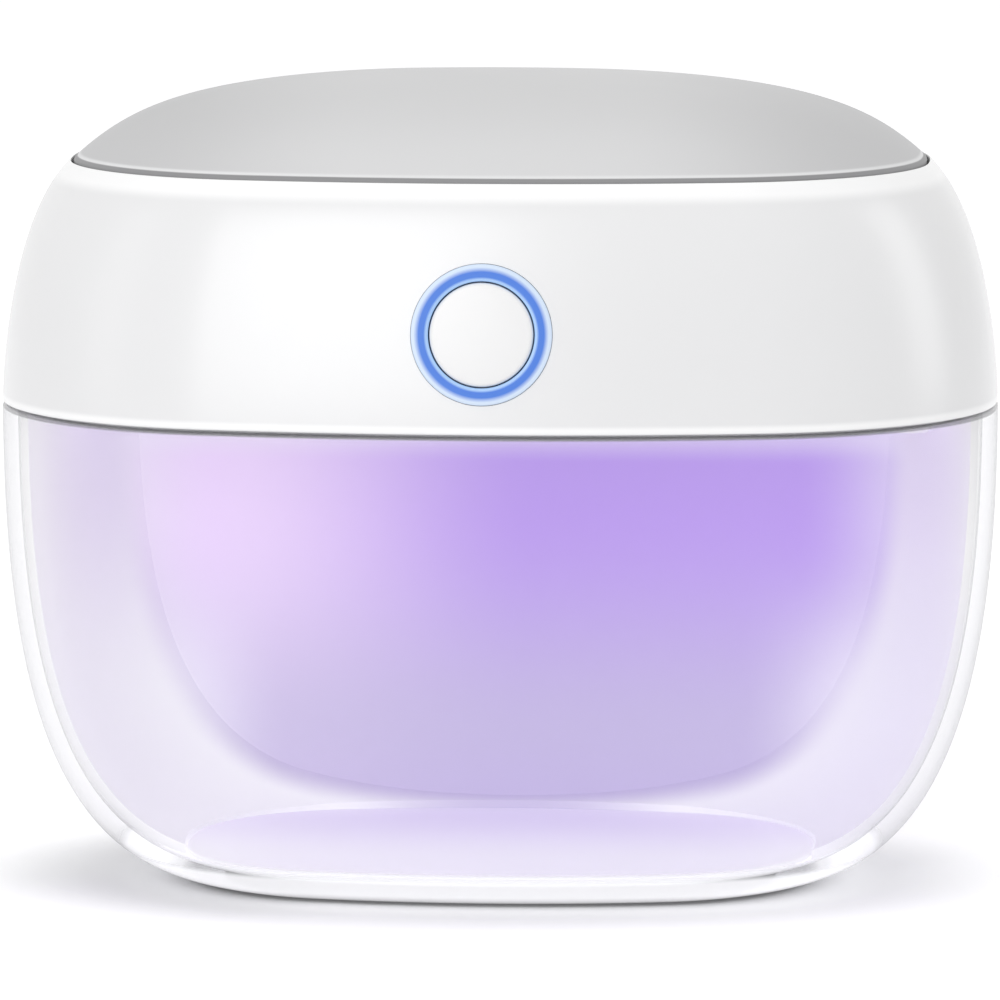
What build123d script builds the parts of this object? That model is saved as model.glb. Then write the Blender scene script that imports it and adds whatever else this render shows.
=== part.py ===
"""Pacifier sterilizer case: a clear oval bowl with a hinged white lid that holds the ultraviolet lamps.

Frame: the origin is on the table under the middle of the bowl, +X to the right, +Y to the back, +Z up.
Every length is in millimetres. Each sub-part is one function and one file in parts/.
"""
from build123d import *
import os
from itertools import pairwise
from math import atan2, cos, degrees, hypot, pi, radians, sin, sqrt

os.makedirs("parts", exist_ok=True)

# ---- outline of the closed case -----------------------------------------------------------------
CASE_WIDTH = 104.0        # across the seam, left to right
CASE_DEPTH = 69.3         # across the seam, front to back
CASE_HEIGHT = 84.5        # table to the crown of the top cover
END_RADIUS = 67.2         # the plan is an oval of eight tangent arcs: two at the ends,
CORNER_RADIUS = 29.3      # four at the corners,
FRONT_RADIUS = 137.4      # and two along the front and the back
SEAM_Z = 50.3             # middle of the gap between the bowl and the lid
SEAM_GAP = 0.2
FOOT_HALF = 29.0          # half width of the flat that the bowl stands on
FOOT_REACH = 19.9         # how far the foot runs outwards before the wall turns up
BOWL_UPRIGHT = 24.7       # how far below the seam the wall keeps its upright line
HEAD_UPRIGHT = 3.0        # how far above the seam it does
RIM_HALF = 44.7           # half width of the top cover's edge
RIM_Z = 75.6              # height of that edge
SHOULDER_REACH = 8.5      # length of the shoulder's lead into the edge
SHOULDER_TILT = 42.0      # degrees above the horizontal at the edge
DOME_REACH = 8.0          # length of the dome's lead out of the edge
CROWN_REACH = 32.0        # half width over which the crown stays nearly level

# ---- walls and clearances -----------------------------------------------------------------------
BOWL_WALL = 1.6
BOWL_FLOOR = 1.5
LINER_GAP = 0.2           # liner to bowl
LINER_WALL = 0.8
HEAD_WALL = 2.0
COVER_WALL = 1.8
COVER_GAP = 0.25          # groove round the top cover
LEDGE_THICK = 1.5         # ledge in the shoulder that the cover sits on
LEDGE_WIDTH = 4.5
SKIRT_DROP = 1.2          # the cover's skirt and its hooks below the ledge
SKIRT_THICK = 1.3
SKIRT_ROOT = 1.2          # how far the skirt runs up into the dome
HOOK_COUNT = 6
HOOK_LENGTH = 8.0
HOOK_REACH = 0.7          # how far each hook reaches under the ledge
MOVING_GAP = 0.3          # between pieces that move past each other
SEAT_GAP = 0.05           # between pieces that stay together
RUNNING_GAP = 0.04        # pin in its bore
EDGE_ROUND = 0.8          # moulded edges of the lid along the seam and the groove
FINE_ROUND = 0.4
PAST = 1.0                # how far a cut runs past the face that it opens
SKIN_SPANS = 14           # spans of the smooth loft of an outer skin, from first oval to last
CHAMBER_SPANS = 12        # straight spans of the bowl's inside and of the liner that follows it
LID_SPANS = 6             # straight spans of the lid's inside
DOME_END = 0.95           # the dome's loft ends in a small flat, just short of the crown

# ---- chamber liner and floor plate --------------------------------------------------------------
BACK_WALL_Y = 22.8        # front face of the flat back wall
WING_FRONT_Y = -5.0       # where the side wings end
LINER_TOP_DROP = 0.8      # the liner's edge below the bowl's rim
SHELF_DROP = 2.5          # the hinge shelf below the bowl's rim
SHELF_THICK = 1.8
FLOOR_HALF = 33.0         # half width of the floor plate
FLOOR_TOP = 3.2
FLOOR_BRIM = 0.6          # thickness of the floor plate's brim, outside its foot
LINER_BOSS_TIP = 2.0      # radius at the foot of each magnet boss
LINER_BOSS_TAPER = 1.2    # height over which the boss tapers to it

# ---- lid locating lip, seal and lamp plate ------------------------------------------------------
LIP_WIDTH = 1.2
LIP_DROP = 0.5            # how far the lip reaches below the bowl's rim
SEAL_WIDTH = 0.7
SEAL_INSET = 0.95
SEAL_DEPTH = 0.5
PLATE_LIFT = 0.6          # lamp plate above the foot of the head shell
PLATE_THICK = 1.8
PLATE_SCREW_ANGLE = 70.0  # the way the wall faces at the four corner bosses, in degrees
PLATE_SCREW_INSET = 6.2
BOSS_WEB = 1.6            # thickness of the web that ties each boss to the shell
WEB_END = 1.6             # where the web ends, inside the shell's wall
BOSS_RADIUS = 2.6
BOSS_HEIGHT = 8.0

# ---- screws: one for the plastic bosses, one for the circuit boards ------------------------------
CASE_SCREW_SHANK = 0.95
CASE_SCREW_HEAD = 1.9
CASE_SCREW_HEAD_HEIGHT = 1.0
CASE_SCREW_LENGTH = 6.5
BOARD_SCREW_SHANK = 0.75
BOARD_SCREW_HEAD = 1.5
BOARD_SCREW_HEAD_HEIGHT = 0.8
BOARD_SCREW_LENGTH = 4.5
TRAY_SCREW_LENGTH = 12.0  # through the main board and the tray into the lamp plate's posts
SCREW_END = 1.0           # free bore past the point of a case screw
BOARD_THICK = 1.2
POST_RADIUS = 2.1
CORNER_CUT = 1.0          # cut corners of the boards and the bracket

# ---- hinge --------------------------------------------------------------------------------------
HINGE_OFFSET = 0.55       # pin axis behind the bowl's rear wall
KNUCKLE_RADIUS = 2.6
PIN_RADIUS = 1.0
PIN_CHAMFER = 0.2
BRACKET_KNUCKLE = 17.4    # length of the middle knuckle
LID_KNUCKLE = 6.0         # length of each knuckle on the lid
KNUCKLE_RIB = 8.2         # height of the rib that carries a lid knuckle
RIB_CONTACT = 30.0        # degrees round the knuckle where the rib's back meets it
BRACKET_THICK = 1.5
BRACKET_HALF = 11.5
BRACKET_SCREW_X = 7.5
BRACKET_SCREW_Y = 27.4
BRACKET_FRONT_GAP = 1.0   # bracket to the back wall

# ---- magnets ------------------------------------------------------------------------------------
MAGNET_RADIUS = 2.5
MAGNET_THICK = 2.0
MAGNET_X = 42.6
MAGNET_Y = 14.0
MAGNET_BOSS_WALL = 0.7
MAGNET_FLOOR = 0.8        # plastic under the lid's magnets
SENSOR = (4.0, 3.0, 1.5)
SENSOR_GAP = 1.2          # sensor to the magnet's boss
SENSOR_OFFSET = 3.7       # sensor in front of the magnet

# ---- lamps --------------------------------------------------------------------------------------
LAMP_COUNT = 4
LAMP_PITCH = 11.0
LAMP_SIZE = 3.5
LAMP_HEIGHT = 1.3
LENS_RADIUS = 0.9
LENS_HEIGHT = 0.4
CUP_TOP_RADIUS = 2.7
CUP_FOOT_RADIUS = 5.0
REFLECTOR_LENGTH = 46.0
REFLECTOR_WIDTH = 13.0
REFLECTOR_HEIGHT = 2.4
WINDOW_LENGTH = 50.0
WINDOW_WIDTH = 15.0
WINDOW_THICK = 0.8
WINDOW_LEDGE = 2.0        # width of the step that the window rests on
LAMP_BOARD_LENGTH = 62.0
LAMP_BOARD_WIDTH = 12.0
LAMP_SCREW_X = 28.0

# ---- battery and main board ---------------------------------------------------------------------
TRAY_Y = 2.0              # middle of the tray, board and battery
TRAY_LENGTH = 74.0
TRAY_WIDTH = 33.0
TRAY_THICK = 1.2
TRAY_LIFT = 4.8           # tray above the lamp plate
TRAY_POST_X = 33.5
TRAY_POST_Y = 13.0
BATTERY_LENGTH = 58.0
BATTERY_WIDTH = 27.0
BATTERY_THICK = 6.0
BATTERY_ROUND = 2.6
BATTERY_WALL = 1.2        # thickness of the walls that hold the battery
BATTERY_WALL_HEIGHT = 3.0
BATTERY_GRIP = 8.0        # length of each wall from the battery's corner
BATTERY_SILL = 1.0        # height of the walls between the corners
BOARD_LIFT = 7.4          # main board above the tray
BOARD_TONGUE_HALF = 8.0
PORT_WIDTH = 8.94
PORT_HEIGHT = 3.26
PORT_LENGTH = 7.35
PORT_RECESS = 0.5         # mouth of the port behind the shell's face
PORT_CLEARANCE = 0.35
PORT_WALL = 0.3
PORT_TONGUE = (6.34, 0.7)
PORT_BACK_WALL = 1.0
CHIPS = [                 # middle on the tray, then length, width and height
    ((-14, 6), (5, 5, 0.9)), ((2, -4), (7, 7, 1.0)), ((16, 6), (4, 5, 1.1)), ((22, -6), (6, 6, 2.8)),
]
CHIP_CHAMFER = 0.2

# ---- power button and light ring, measured square to the front face -----------------------------
BUTTON_Z = 60.6
CAP_RADIUS = 5.2
CAP_CROWN = 0.35
CAP_FLANGE = 1.0
CAP_FLANGE_THICK = 0.8
CAP_GAP = 0.2
RING_RADIUS = 7.1
RING_PROUD = 0.1
RING_GROOVE = 0.25        # depth of the hollow round the ring's face
RING_SEAT_DEPTH = 2.4     # front face to the flat that the ring's flange sits on
RING_FLANGE_RADIUS = 8.2
RING_FLANGE_THICK = 0.8
GUIDE_LENGTH = 4.9        # light guide behind the flange
GUIDE_BORE = 6.8
GUIDE_FLAT = 6.5          # the guide is cut flat this far below its axis, to clear the lamp plate
PAD_MARGIN = 1.0          # button seat round the ring's flange
BUTTON_TRAVEL = 0.5
PLUNGER_RADIUS = 1.5
SWITCH_SIZE = 6.0
SWITCH_HEIGHT = 3.1
SWITCH_TIP_RADIUS = 1.7
SWITCH_TIP_LENGTH = 0.7
SWITCH_BORE = 2.6         # depth of the bore that the tip slides in
BUTTON_BOARD_X = 27.0
BUTTON_BOARD_Z = 13.0
BUTTON_SCREW_X = 11.4
RING_LAMP_COUNT = 6
RING_LAMP = (1.6, 0.9, 0.6)

# ---- heights and half sizes that follow from these ----------------------------------------------
ASPECT = CASE_DEPTH / CASE_WIDTH
HALF_WIDTH = CASE_WIDTH / 2
HALF_DEPTH = CASE_DEPTH / 2
END_CENTRE = (HALF_WIDTH - END_RADIUS, 0.0)
FRONT_CENTRE = (0.0, HALF_DEPTH - FRONT_RADIUS)
BOWL_RIM_Z = SEAM_Z - SEAM_GAP / 2
HEAD_FOOT_Z = SEAM_Z + SEAM_GAP / 2
LINER_INSET = BOWL_WALL + LINER_GAP
LINER_TOP_Z = BOWL_RIM_Z - LINER_TOP_DROP
SHELF_Z = BOWL_RIM_Z - SHELF_DROP
LIP_INSET = BOWL_WALL + MOVING_GAP
BAND_INSET = LIP_INSET + LIP_WIDTH
PLATE_INSET = BAND_INSET + 3 * SEAT_GAP
PLATE_Z = HEAD_FOOT_Z + PLATE_LIFT
PLATE_TOP_Z = PLATE_Z + PLATE_THICK
POCKET_Z = RIM_Z - COVER_WALL + SEAT_GAP
LEDGE_FOOT_Z = POCKET_Z - LEDGE_THICK
HINGE_Y = HALF_DEPTH + HINGE_OFFSET
HINGE_Z = SEAM_Z
SWING_RADIUS = KNUCKLE_RADIUS + MOVING_GAP
HINGE_HALF = BRACKET_KNUCKLE / 2 + MOVING_GAP + LID_KNUCKLE
TRAY_Z = PLATE_TOP_Z + TRAY_LIFT
TRAY_TOP_Z = TRAY_Z + TRAY_THICK
BOARD_Z = TRAY_TOP_Z + BOARD_LIFT
BOARD_TOP_Z = BOARD_Z + BOARD_THICK
LAMP_BOARD_Z = PLATE_TOP_Z + REFLECTOR_HEIGHT

UPWARDS = (Align.CENTER, Align.CENTER, Align.MIN)


# ---- shared shapes ------------------------------------------------------------------------------
def bezier(points, t):
    """A point of the cubic with these four control points."""
    weights = ((1 - t) ** 3, 3 * (1 - t) ** 2 * t, 3 * (1 - t) * t * t, t ** 3)
    return tuple(sum(w * p[k] for w, p in zip(weights, points)) for k in (0, 1))


def corner_centre():
    """Centre of the corner arc that runs into the end's arc and the front's, in the first quarter."""
    across, up = FRONT_CENTRE[0] - END_CENTRE[0], FRONT_CENTRE[1] - END_CENTRE[1]
    to_end, to_front = END_RADIUS - CORNER_RADIUS, FRONT_RADIUS - CORNER_RADIUS
    apart = hypot(across, up)
    along = (to_end ** 2 - to_front ** 2 + apart ** 2) / (2 * apart)
    aside = sqrt(to_end ** 2 - along ** 2)
    return (
        END_CENTRE[0] + (along * across - aside * up) / apart,
        END_CENTRE[1] + (along * up + aside * across) / apart,
    )


CORNER_CENTRE = corner_centre()
END_ANGLE = atan2(CORNER_CENTRE[1] - END_CENTRE[1], CORNER_CENTRE[0] - END_CENTRE[0])
FRONT_ANGLE = atan2(CORNER_CENTRE[1] - FRONT_CENTRE[1], CORNER_CENTRE[0] - FRONT_CENTRE[0])
ARC_ENDS = [-END_ANGLE, END_ANGLE, FRONT_ANGLE, pi - FRONT_ANGLE, pi - END_ANGLE]
ARC_ENDS += [pi + angle for angle in ARC_ENDS[1:]]


def oval_point(half_x, inset, angle):
    """Where the wall of an oval this wide faces this way, with the oval drawn in by the inset."""
    c, s = cos(angle), sin(angle)
    facing = atan2(abs(s), abs(c))
    centre, radius = CORNER_CENTRE, CORNER_RADIUS
    if facing < END_ANGLE:
        centre, radius = END_CENTRE, END_RADIUS
    elif facing > FRONT_ANGLE:
        centre, radius = FRONT_CENTRE, FRONT_RADIUS
    scale = half_x / HALF_WIDTH
    reach = radius * scale - inset
    return (
        centre[0] * scale * (1 if c > 0 else -1) + reach * c,
        centre[1] * scale * (1 if s > 0 else -1) + reach * s,
    )


def oval(half_x, inset, z):
    """Level face with the case's plan, drawn in by the inset."""
    arcs = []
    for start, end in pairwise(ARC_ENDS):
        arcs.append(ThreePointArc(*[oval_point(half_x, inset, a) for a in (start, (start + end) / 2, end)]))
    return Pos(0, 0, z) * make_face(arcs)


def inset_slab(inset, z0, z1, half_x=HALF_WIDTH):
    """Slab of the seam's plan, or of a smaller oval, drawn in by the inset all round."""
    return extrude(oval(half_x, inset, z0), z1 - z0)


def inset_ring(outer_inset, inner_inset, z0, z1, half_x=HALF_WIDTH):
    return inset_slab(outer_inset, z0, z1, half_x) - inset_slab(inner_inset, z0, z1, half_x)


def oval_loft(curve, inset, spans=SKIN_SPANS, last=1.0):
    """Solid through level ovals whose half widths and heights follow the curve; an inside is ruled."""
    sections = []
    for i in range(spans + 1):
        half_x, z = bezier(curve, last * i / spans)
        sections.append(oval(half_x + inset, inset, z))
    return loft(sections, ruled=inset > COVER_GAP)


def bowl_curve(inset=0.0, floor=0.0):
    """Side profile of the bowl from its foot to its rim, or of a surface inside it."""
    return (
        (FOOT_HALF - inset, floor),
        (FOOT_HALF + FOOT_REACH - inset, floor),
        (HALF_WIDTH - inset, BOWL_RIM_Z - BOWL_UPRIGHT),
        (HALF_WIDTH - inset, BOWL_RIM_Z),
    )


def head_curve(inset=0.0, top_z=RIM_Z):
    """Side profile of the head from the seam to the top cover's edge, or of a surface inside it."""
    tilt = radians(SHOULDER_TILT)
    return (
        (HALF_WIDTH - inset, HEAD_FOOT_Z),
        (HALF_WIDTH - inset, HEAD_FOOT_Z + HEAD_UPRIGHT),
        (RIM_HALF + SHOULDER_REACH * cos(tilt) - inset, top_z - SHOULDER_REACH * sin(tilt)),
        (RIM_HALF - inset, top_z),
    )


def dome_curve(inset=0.0, drop=0.0):
    """Side profile of the top cover from its edge to the crown."""
    tilt = radians(SHOULDER_TILT)
    return (
        (RIM_HALF - inset, RIM_Z - drop),
        (RIM_HALF - DOME_REACH * cos(tilt) - inset, RIM_Z + DOME_REACH * sin(tilt) - drop),
        (CROWN_REACH, CASE_HEIGHT - drop),
        (0.0, CASE_HEIGHT - drop),
    )


def curve_at(curve, z):
    """Parameter at which a rising curve reaches this height."""
    low, high = 0.0, 1.0
    for _ in range(40):
        middle = (low + high) / 2
        if bezier(curve, middle)[1] < z:
            low = middle
        else:
            high = middle
    return low


def rod(radius, z0, z1, x=0.0, y=0.0):
    return Pos(x, y, z0) * Cylinder(radius, z1 - z0, align=UPWARDS)


def block(x, y, z):
    """Box between two values on each axis."""
    size = [b - a for a, b in (x, y, z)]
    return Pos(x[0], y[0], z[0]) * Box(*size, align=(Align.MIN, Align.MIN, Align.MIN))


def turned(outline):
    """Solid turned about Z from a closed outline of radii and heights."""
    return revolve(Plane.XZ * make_face(outline), Axis.Z)


def stadium_slab(length, width, z0, z1, y=0.0):
    return Pos(0, y, z0) * extrude(SlotOverall(length, width), z1 - z0)


def cross_rod(radius, x0, x1, y=HINGE_Y, z=HINGE_Z):
    """Cylinder along X between two positions, on the hinge axis unless told otherwise."""
    return Pos(x0, y, z) * Rot(0, 90, 0) * Cylinder(radius, x1 - x0, align=UPWARDS)


def screw(head_radius, head_height, shank_radius, length):
    """Plain screw that points down, with the underside of its head at z = 0."""
    head = extrude(RegularPolygon(head_radius, 12), head_height)
    return head + extrude(RegularPolygon(shank_radius, 8), -length)


def case_screw():
    return screw(CASE_SCREW_HEAD, CASE_SCREW_HEAD_HEIGHT, CASE_SCREW_SHANK, CASE_SCREW_LENGTH)


def board_screw(length=BOARD_SCREW_LENGTH):
    return screw(BOARD_SCREW_HEAD, BOARD_SCREW_HEAD_HEIGHT, BOARD_SCREW_SHANK, length)


def corners(x, y, middle_y=0.0):
    return [(i * x, middle_y + j * y) for i in (-1, 1) for j in (-1, 1)]


def save(shape, name):
    export_step(shape, f"parts/{name}.step")


# Places shared by more than one piece
PLATE_SCREW_ANGLES = [radians(a) for a in (
    PLATE_SCREW_ANGLE, 180 - PLATE_SCREW_ANGLE, 180 + PLATE_SCREW_ANGLE, -PLATE_SCREW_ANGLE
)]
PLATE_SCREWS = [oval_point(HALF_WIDTH, PLATE_SCREW_INSET, a) for a in PLATE_SCREW_ANGLES]
MAGNETS = [(-MAGNET_X, MAGNET_Y), (MAGNET_X, MAGNET_Y)]
TRAY_POSTS = corners(TRAY_POST_X, TRAY_POST_Y, TRAY_Y)

# The button stands square to the leaning front face, so its pieces are drawn on this plane, with
# local z pointing out of the face.
FACE_T = curve_at(head_curve(), BUTTON_Z)
FACE_STEP = 0.01
FACE_BELOW = bezier(head_curve(), FACE_T - FACE_STEP)
FACE_ABOVE = bezier(head_curve(), FACE_T + FACE_STEP)
FACE_LEAN = atan2((FACE_BELOW[0] - FACE_ABOVE[0]) * ASPECT, FACE_ABOVE[1] - FACE_BELOW[1])
FACE_DEPTH = bezier(head_curve(), FACE_T)[0] * ASPECT
BUTTON_PLANE = Plane(
    origin=(0, -FACE_DEPTH, BUTTON_Z), x_dir=(1, 0, 0), z_dir=(0, -cos(FACE_LEAN), sin(FACE_LEAN))
)
RING_BORE = CAP_RADIUS + CAP_GAP
FLANGE_BACK = -RING_SEAT_DEPTH - RING_FLANGE_THICK
GUIDE_BACK = FLANGE_BACK - GUIDE_LENGTH
CAP_BACK = FLANGE_BACK - SEAT_GAP
CAP_FLANGE_BACK = CAP_BACK - CAP_FLANGE_THICK
BUTTON_BOARD_FRONT = GUIDE_BACK - RING_LAMP[2] - MOVING_GAP
SWITCH_FRONT = BUTTON_BOARD_FRONT + SWITCH_HEIGHT
TIP_FRONT = SWITCH_FRONT + SWITCH_TIP_LENGTH


# ---- base: everything that stays on the table ----------------------------------------------------
def clear_bowl():
    """Clear moulded bowl: thin walls, a flat foot, and a rim that is notched for the hinge."""
    inside = oval_loft(bowl_curve(BOWL_WALL, BOWL_FLOOR), BOWL_WALL, CHAMBER_SPANS)
    bowl = oval_loft(bowl_curve(), 0) - inside
    bowl = fillet(bowl.edges().group_by(Axis.Z)[-1], FINE_ROUND)
    notch_half = BRACKET_KNUCKLE / 2 + MOVING_GAP
    bowl -= cross_rod(SWING_RADIUS, -HINGE_HALF - MOVING_GAP, HINGE_HALF + MOVING_GAP)
    return bowl - block(
        (-notch_half, notch_half), (BACK_WALL_Y, HINGE_Y), (SHELF_Z - MOVING_GAP, BOWL_RIM_Z + PAST)
    )


def chamber_liner():
    """White reflecting liner: flat back, wings along both sides, a shelf for the hinge, magnet bosses."""
    inner = LINER_INSET + LINER_WALL
    outside = oval_loft(bowl_curve(LINER_INSET, BOWL_FLOOR), LINER_INSET, CHAMBER_SPANS)
    inside = oval_loft(bowl_curve(inner, BOWL_FLOOR + LINER_WALL), inner, CHAMBER_SPANS)
    far = CASE_WIDTH
    wall_back = BACK_WALL_Y + LINER_WALL
    pocket_z = LINER_TOP_Z - MAGNET_THICK - SEAT_GAP
    boss_z = pocket_z - LINER_WALL
    boss = MAGNET_RADIUS + SEAT_GAP + MAGNET_BOSS_WALL

    # The magnet bosses are left standing when the chamber is hollowed out
    chamber = inside & block((-far, far), (-far, BACK_WALL_Y), (0, CASE_HEIGHT))
    for x, y in MAGNETS:
        chamber -= rod(boss, boss_z, CASE_HEIGHT, x, y)
        tip = Cone(LINER_BOSS_TIP, boss, LINER_BOSS_TAPER, align=UPWARDS)
        chamber -= Pos(x, y, boss_z - LINER_BOSS_TAPER) * tip
        chamber -= block(sorted((x, 2 * x)), (y - boss / 2, y + boss / 2), (boss_z, CASE_HEIGHT))

    # Behind the back wall only the shelf stays, with its two screw bosses below it
    liner = outside & block((-far, far), (WING_FRONT_Y, far), (0, LINER_TOP_Z))
    liner -= chamber
    liner -= block((-far, far), (wall_back, far), (0, SHELF_Z - SHELF_THICK))
    liner -= block((-far, far), (wall_back, far), (SHELF_Z, CASE_HEIGHT))
    boss_foot = SHELF_Z + BRACKET_THICK - CASE_SCREW_LENGTH - 2 * SCREW_END
    for x in (-BRACKET_SCREW_X, BRACKET_SCREW_X):
        liner += rod(BOSS_RADIUS, boss_foot, SHELF_Z - SHELF_THICK, x, BRACKET_SCREW_Y)
        liner -= rod(CASE_SCREW_SHANK + SEAT_GAP, boss_foot + SCREW_END, SHELF_Z + PAST, x, BRACKET_SCREW_Y)
    for x, y in MAGNETS:
        liner -= rod(MAGNET_RADIUS + SEAT_GAP, pocket_z, LINER_TOP_Z + PAST, x, y)

    # The floor plate drops through the liner's foot onto the bowl
    return liner - inset_slab(-LINER_GAP, 0, FLOOR_TOP + PAST, FLOOR_HALF)


def floor_plate():
    """Raised oval floor of the chamber: a thin brim round a foot that stands on the bowl's flat floor."""
    brim_z = FLOOR_TOP - FLOOR_BRIM
    plate = inset_slab(0, brim_z, FLOOR_TOP, FLOOR_HALF)
    plate = fillet(plate.edges().group_by(Axis.Z)[-1], FINE_ROUND)
    return plate + inset_slab(BOWL_WALL + SEAT_GAP, BOWL_FLOOR, brim_z, FOOT_HALF)


def catch_magnets():
    """Two disc magnets in the liner's bosses."""
    top = LINER_TOP_Z - SEAT_GAP
    return Compound([rod(MAGNET_RADIUS, top - MAGNET_THICK + SEAT_GAP, top, x, y) for x, y in MAGNETS])


def hinge_bracket():
    """White bracket on the liner's shelf; its middle knuckle stands out through the bowl's notch."""
    half = BRACKET_KNUCKLE / 2
    front_y = BACK_WALL_Y + LINER_WALL + BRACKET_FRONT_GAP
    plate = block(
        (-BRACKET_HALF, BRACKET_HALF), (front_y, HALF_DEPTH - LINER_INSET - FINE_ROUND),
        (SHELF_Z, SHELF_Z + BRACKET_THICK)
    )
    plate = chamfer(plate.edges().filter_by(Axis.Z), CORNER_CUT)
    plate += block((-half, half), (front_y, HINGE_Y), (HINGE_Z - KNUCKLE_RADIUS, SHELF_Z + BRACKET_THICK))
    bracket = plate + cross_rod(KNUCKLE_RADIUS, -half, half)
    bracket -= cross_rod(PIN_RADIUS + RUNNING_GAP, -half - PAST, half + PAST)
    for x in (-BRACKET_SCREW_X, BRACKET_SCREW_X):
        bracket -= rod(CASE_SCREW_SHANK + SEAT_GAP, 0, CASE_HEIGHT, x, BRACKET_SCREW_Y)
    return bracket


def bracket_screws():
    top = SHELF_Z + BRACKET_THICK
    return Compound([Pos(x, BRACKET_SCREW_Y, top) * case_screw() for x in (-BRACKET_SCREW_X, BRACKET_SCREW_X)])


def hinge_pin():
    reach = HINGE_HALF - FINE_ROUND
    pin = cross_rod(PIN_RADIUS, -reach, reach)
    return chamfer(pin.edges(), PIN_CHAMFER)


# ---- lid: everything that swings on the hinge ----------------------------------------------------
def head_shell():
    """White moulded head: shell, shoulder groove, locating lip, bosses and hinge knuckles."""
    shell = oval_loft(head_curve(), 0)
    shell = fillet(shell.edges().group_by(Axis.Z)[0], EDGE_ROUND)
    shell -= oval_loft(head_curve(HEAD_WALL, LEDGE_FOOT_Z), HEAD_WALL, LID_SPANS)
    shell -= inset_slab(0, POCKET_Z, CASE_HEIGHT, RIM_HALF)
    shell -= inset_slab(LEDGE_WIDTH, LEDGE_FOOT_Z - PAST, CASE_HEIGHT, RIM_HALF)
    shell = fillet(shell.edges().group_by(Axis.Z)[-1], FINE_ROUND)
    shell += inset_ring(LIP_INSET, BAND_INSET, BOWL_RIM_Z - LIP_DROP, HEAD_FOOT_Z + PLATE_LIFT)
    shell += inset_ring(SEAL_INSET, BAND_INSET, HEAD_FOOT_Z, PLATE_TOP_Z)
    shell -= inset_ring(SEAL_INSET, SEAL_INSET + SEAL_WIDTH, HEAD_FOOT_Z - SEAT_GAP, HEAD_FOOT_Z + SEAL_DEPTH)

    # Each corner boss is tied to the shell by a web that runs out into the wall
    boss_top = PLATE_TOP_Z + BOSS_HEIGHT
    for angle, (x, y) in zip(PLATE_SCREW_ANGLES, PLATE_SCREWS):
        shell += rod(BOSS_RADIUS, PLATE_TOP_Z, boss_top, x, y)
        web = block((0, PLATE_SCREW_INSET - WEB_END), (-BOSS_WEB / 2, BOSS_WEB / 2), (PLATE_TOP_Z, boss_top))
        shell += Pos(x, y, 0) * Rot(0, 0, degrees(angle)) * web
        shell -= rod(CASE_SCREW_SHANK + SEAT_GAP, PLATE_TOP_Z - PAST, boss_top - SCREW_END, x, y)

    # Button seat: a flat pad behind the leaning face, the bore, and two posts for the button's board
    pad = rod(RING_FLANGE_RADIUS + PAD_MARGIN, -RING_SEAT_DEPTH, -HEAD_WALL / 2)
    for x in (-BUTTON_SCREW_X, BUTTON_SCREW_X):
        pad += rod(POST_RADIUS, BUTTON_BOARD_FRONT, -HEAD_WALL / 2, x)
    for x in (-BUTTON_SCREW_X, BUTTON_SCREW_X):
        pad -= rod(BOARD_SCREW_SHANK + SEAT_GAP, BUTTON_BOARD_FRONT, BUTTON_BOARD_FRONT + BOARD_SCREW_LENGTH, x)
    bore = rod(RING_RADIUS + SEAT_GAP, -RING_SEAT_DEPTH - PAST, HEAD_WALL)
    bore += rod(RING_FLANGE_RADIUS + SEAT_GAP, GUIDE_BACK, -RING_SEAT_DEPTH)
    shell += BUTTON_PLANE * pad
    shell -= BUTTON_PLANE * bore

    # Mouth of the charging port, through the rear wall
    mouth = extrude(
        SlotOverall(PORT_WIDTH + 2 * PORT_CLEARANCE, PORT_HEIGHT + 2 * PORT_CLEARANCE), HALF_DEPTH
    )
    shell -= Pos(0, HALF_DEPTH * 1.5, BOARD_TOP_Z + PORT_HEIGHT / 2) * Rot(90, 0, 0) * mouth

    # Hinge: a knuckle and its rib at each side of the bracket's knuckle
    inner = BRACKET_KNUCKLE / 2 + MOVING_GAP
    shell -= cross_rod(SWING_RADIUS, -inner, inner)
    wall_y = bezier(head_curve(), curve_at(head_curve(), HINGE_Z + KNUCKLE_RIB))[0] * ASPECT
    contact = radians(RIB_CONTACT)
    rib = [
        (HINGE_Y + KNUCKLE_RADIUS * cos(contact), HINGE_Z + KNUCKLE_RADIUS * sin(contact)),
        (wall_y - FINE_ROUND, HINGE_Z + KNUCKLE_RIB),
        (wall_y - HEAD_WALL, HINGE_Z + KNUCKLE_RIB),
        (HALF_DEPTH - HEAD_WALL, HEAD_FOOT_Z),
        (HINGE_Y, HEAD_FOOT_Z),
    ]
    for x in (inner, -HINGE_HALF):
        knuckle = extrude(Plane.YZ.offset(x) * make_face(Polyline(*rib, close=True)), LID_KNUCKLE)
        shell += knuckle + cross_rod(KNUCKLE_RADIUS, x, x + LID_KNUCKLE)
    return shell - cross_rod(PIN_RADIUS + RUNNING_GAP, -HINGE_HALF - PAST, HINGE_HALF + PAST)


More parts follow.
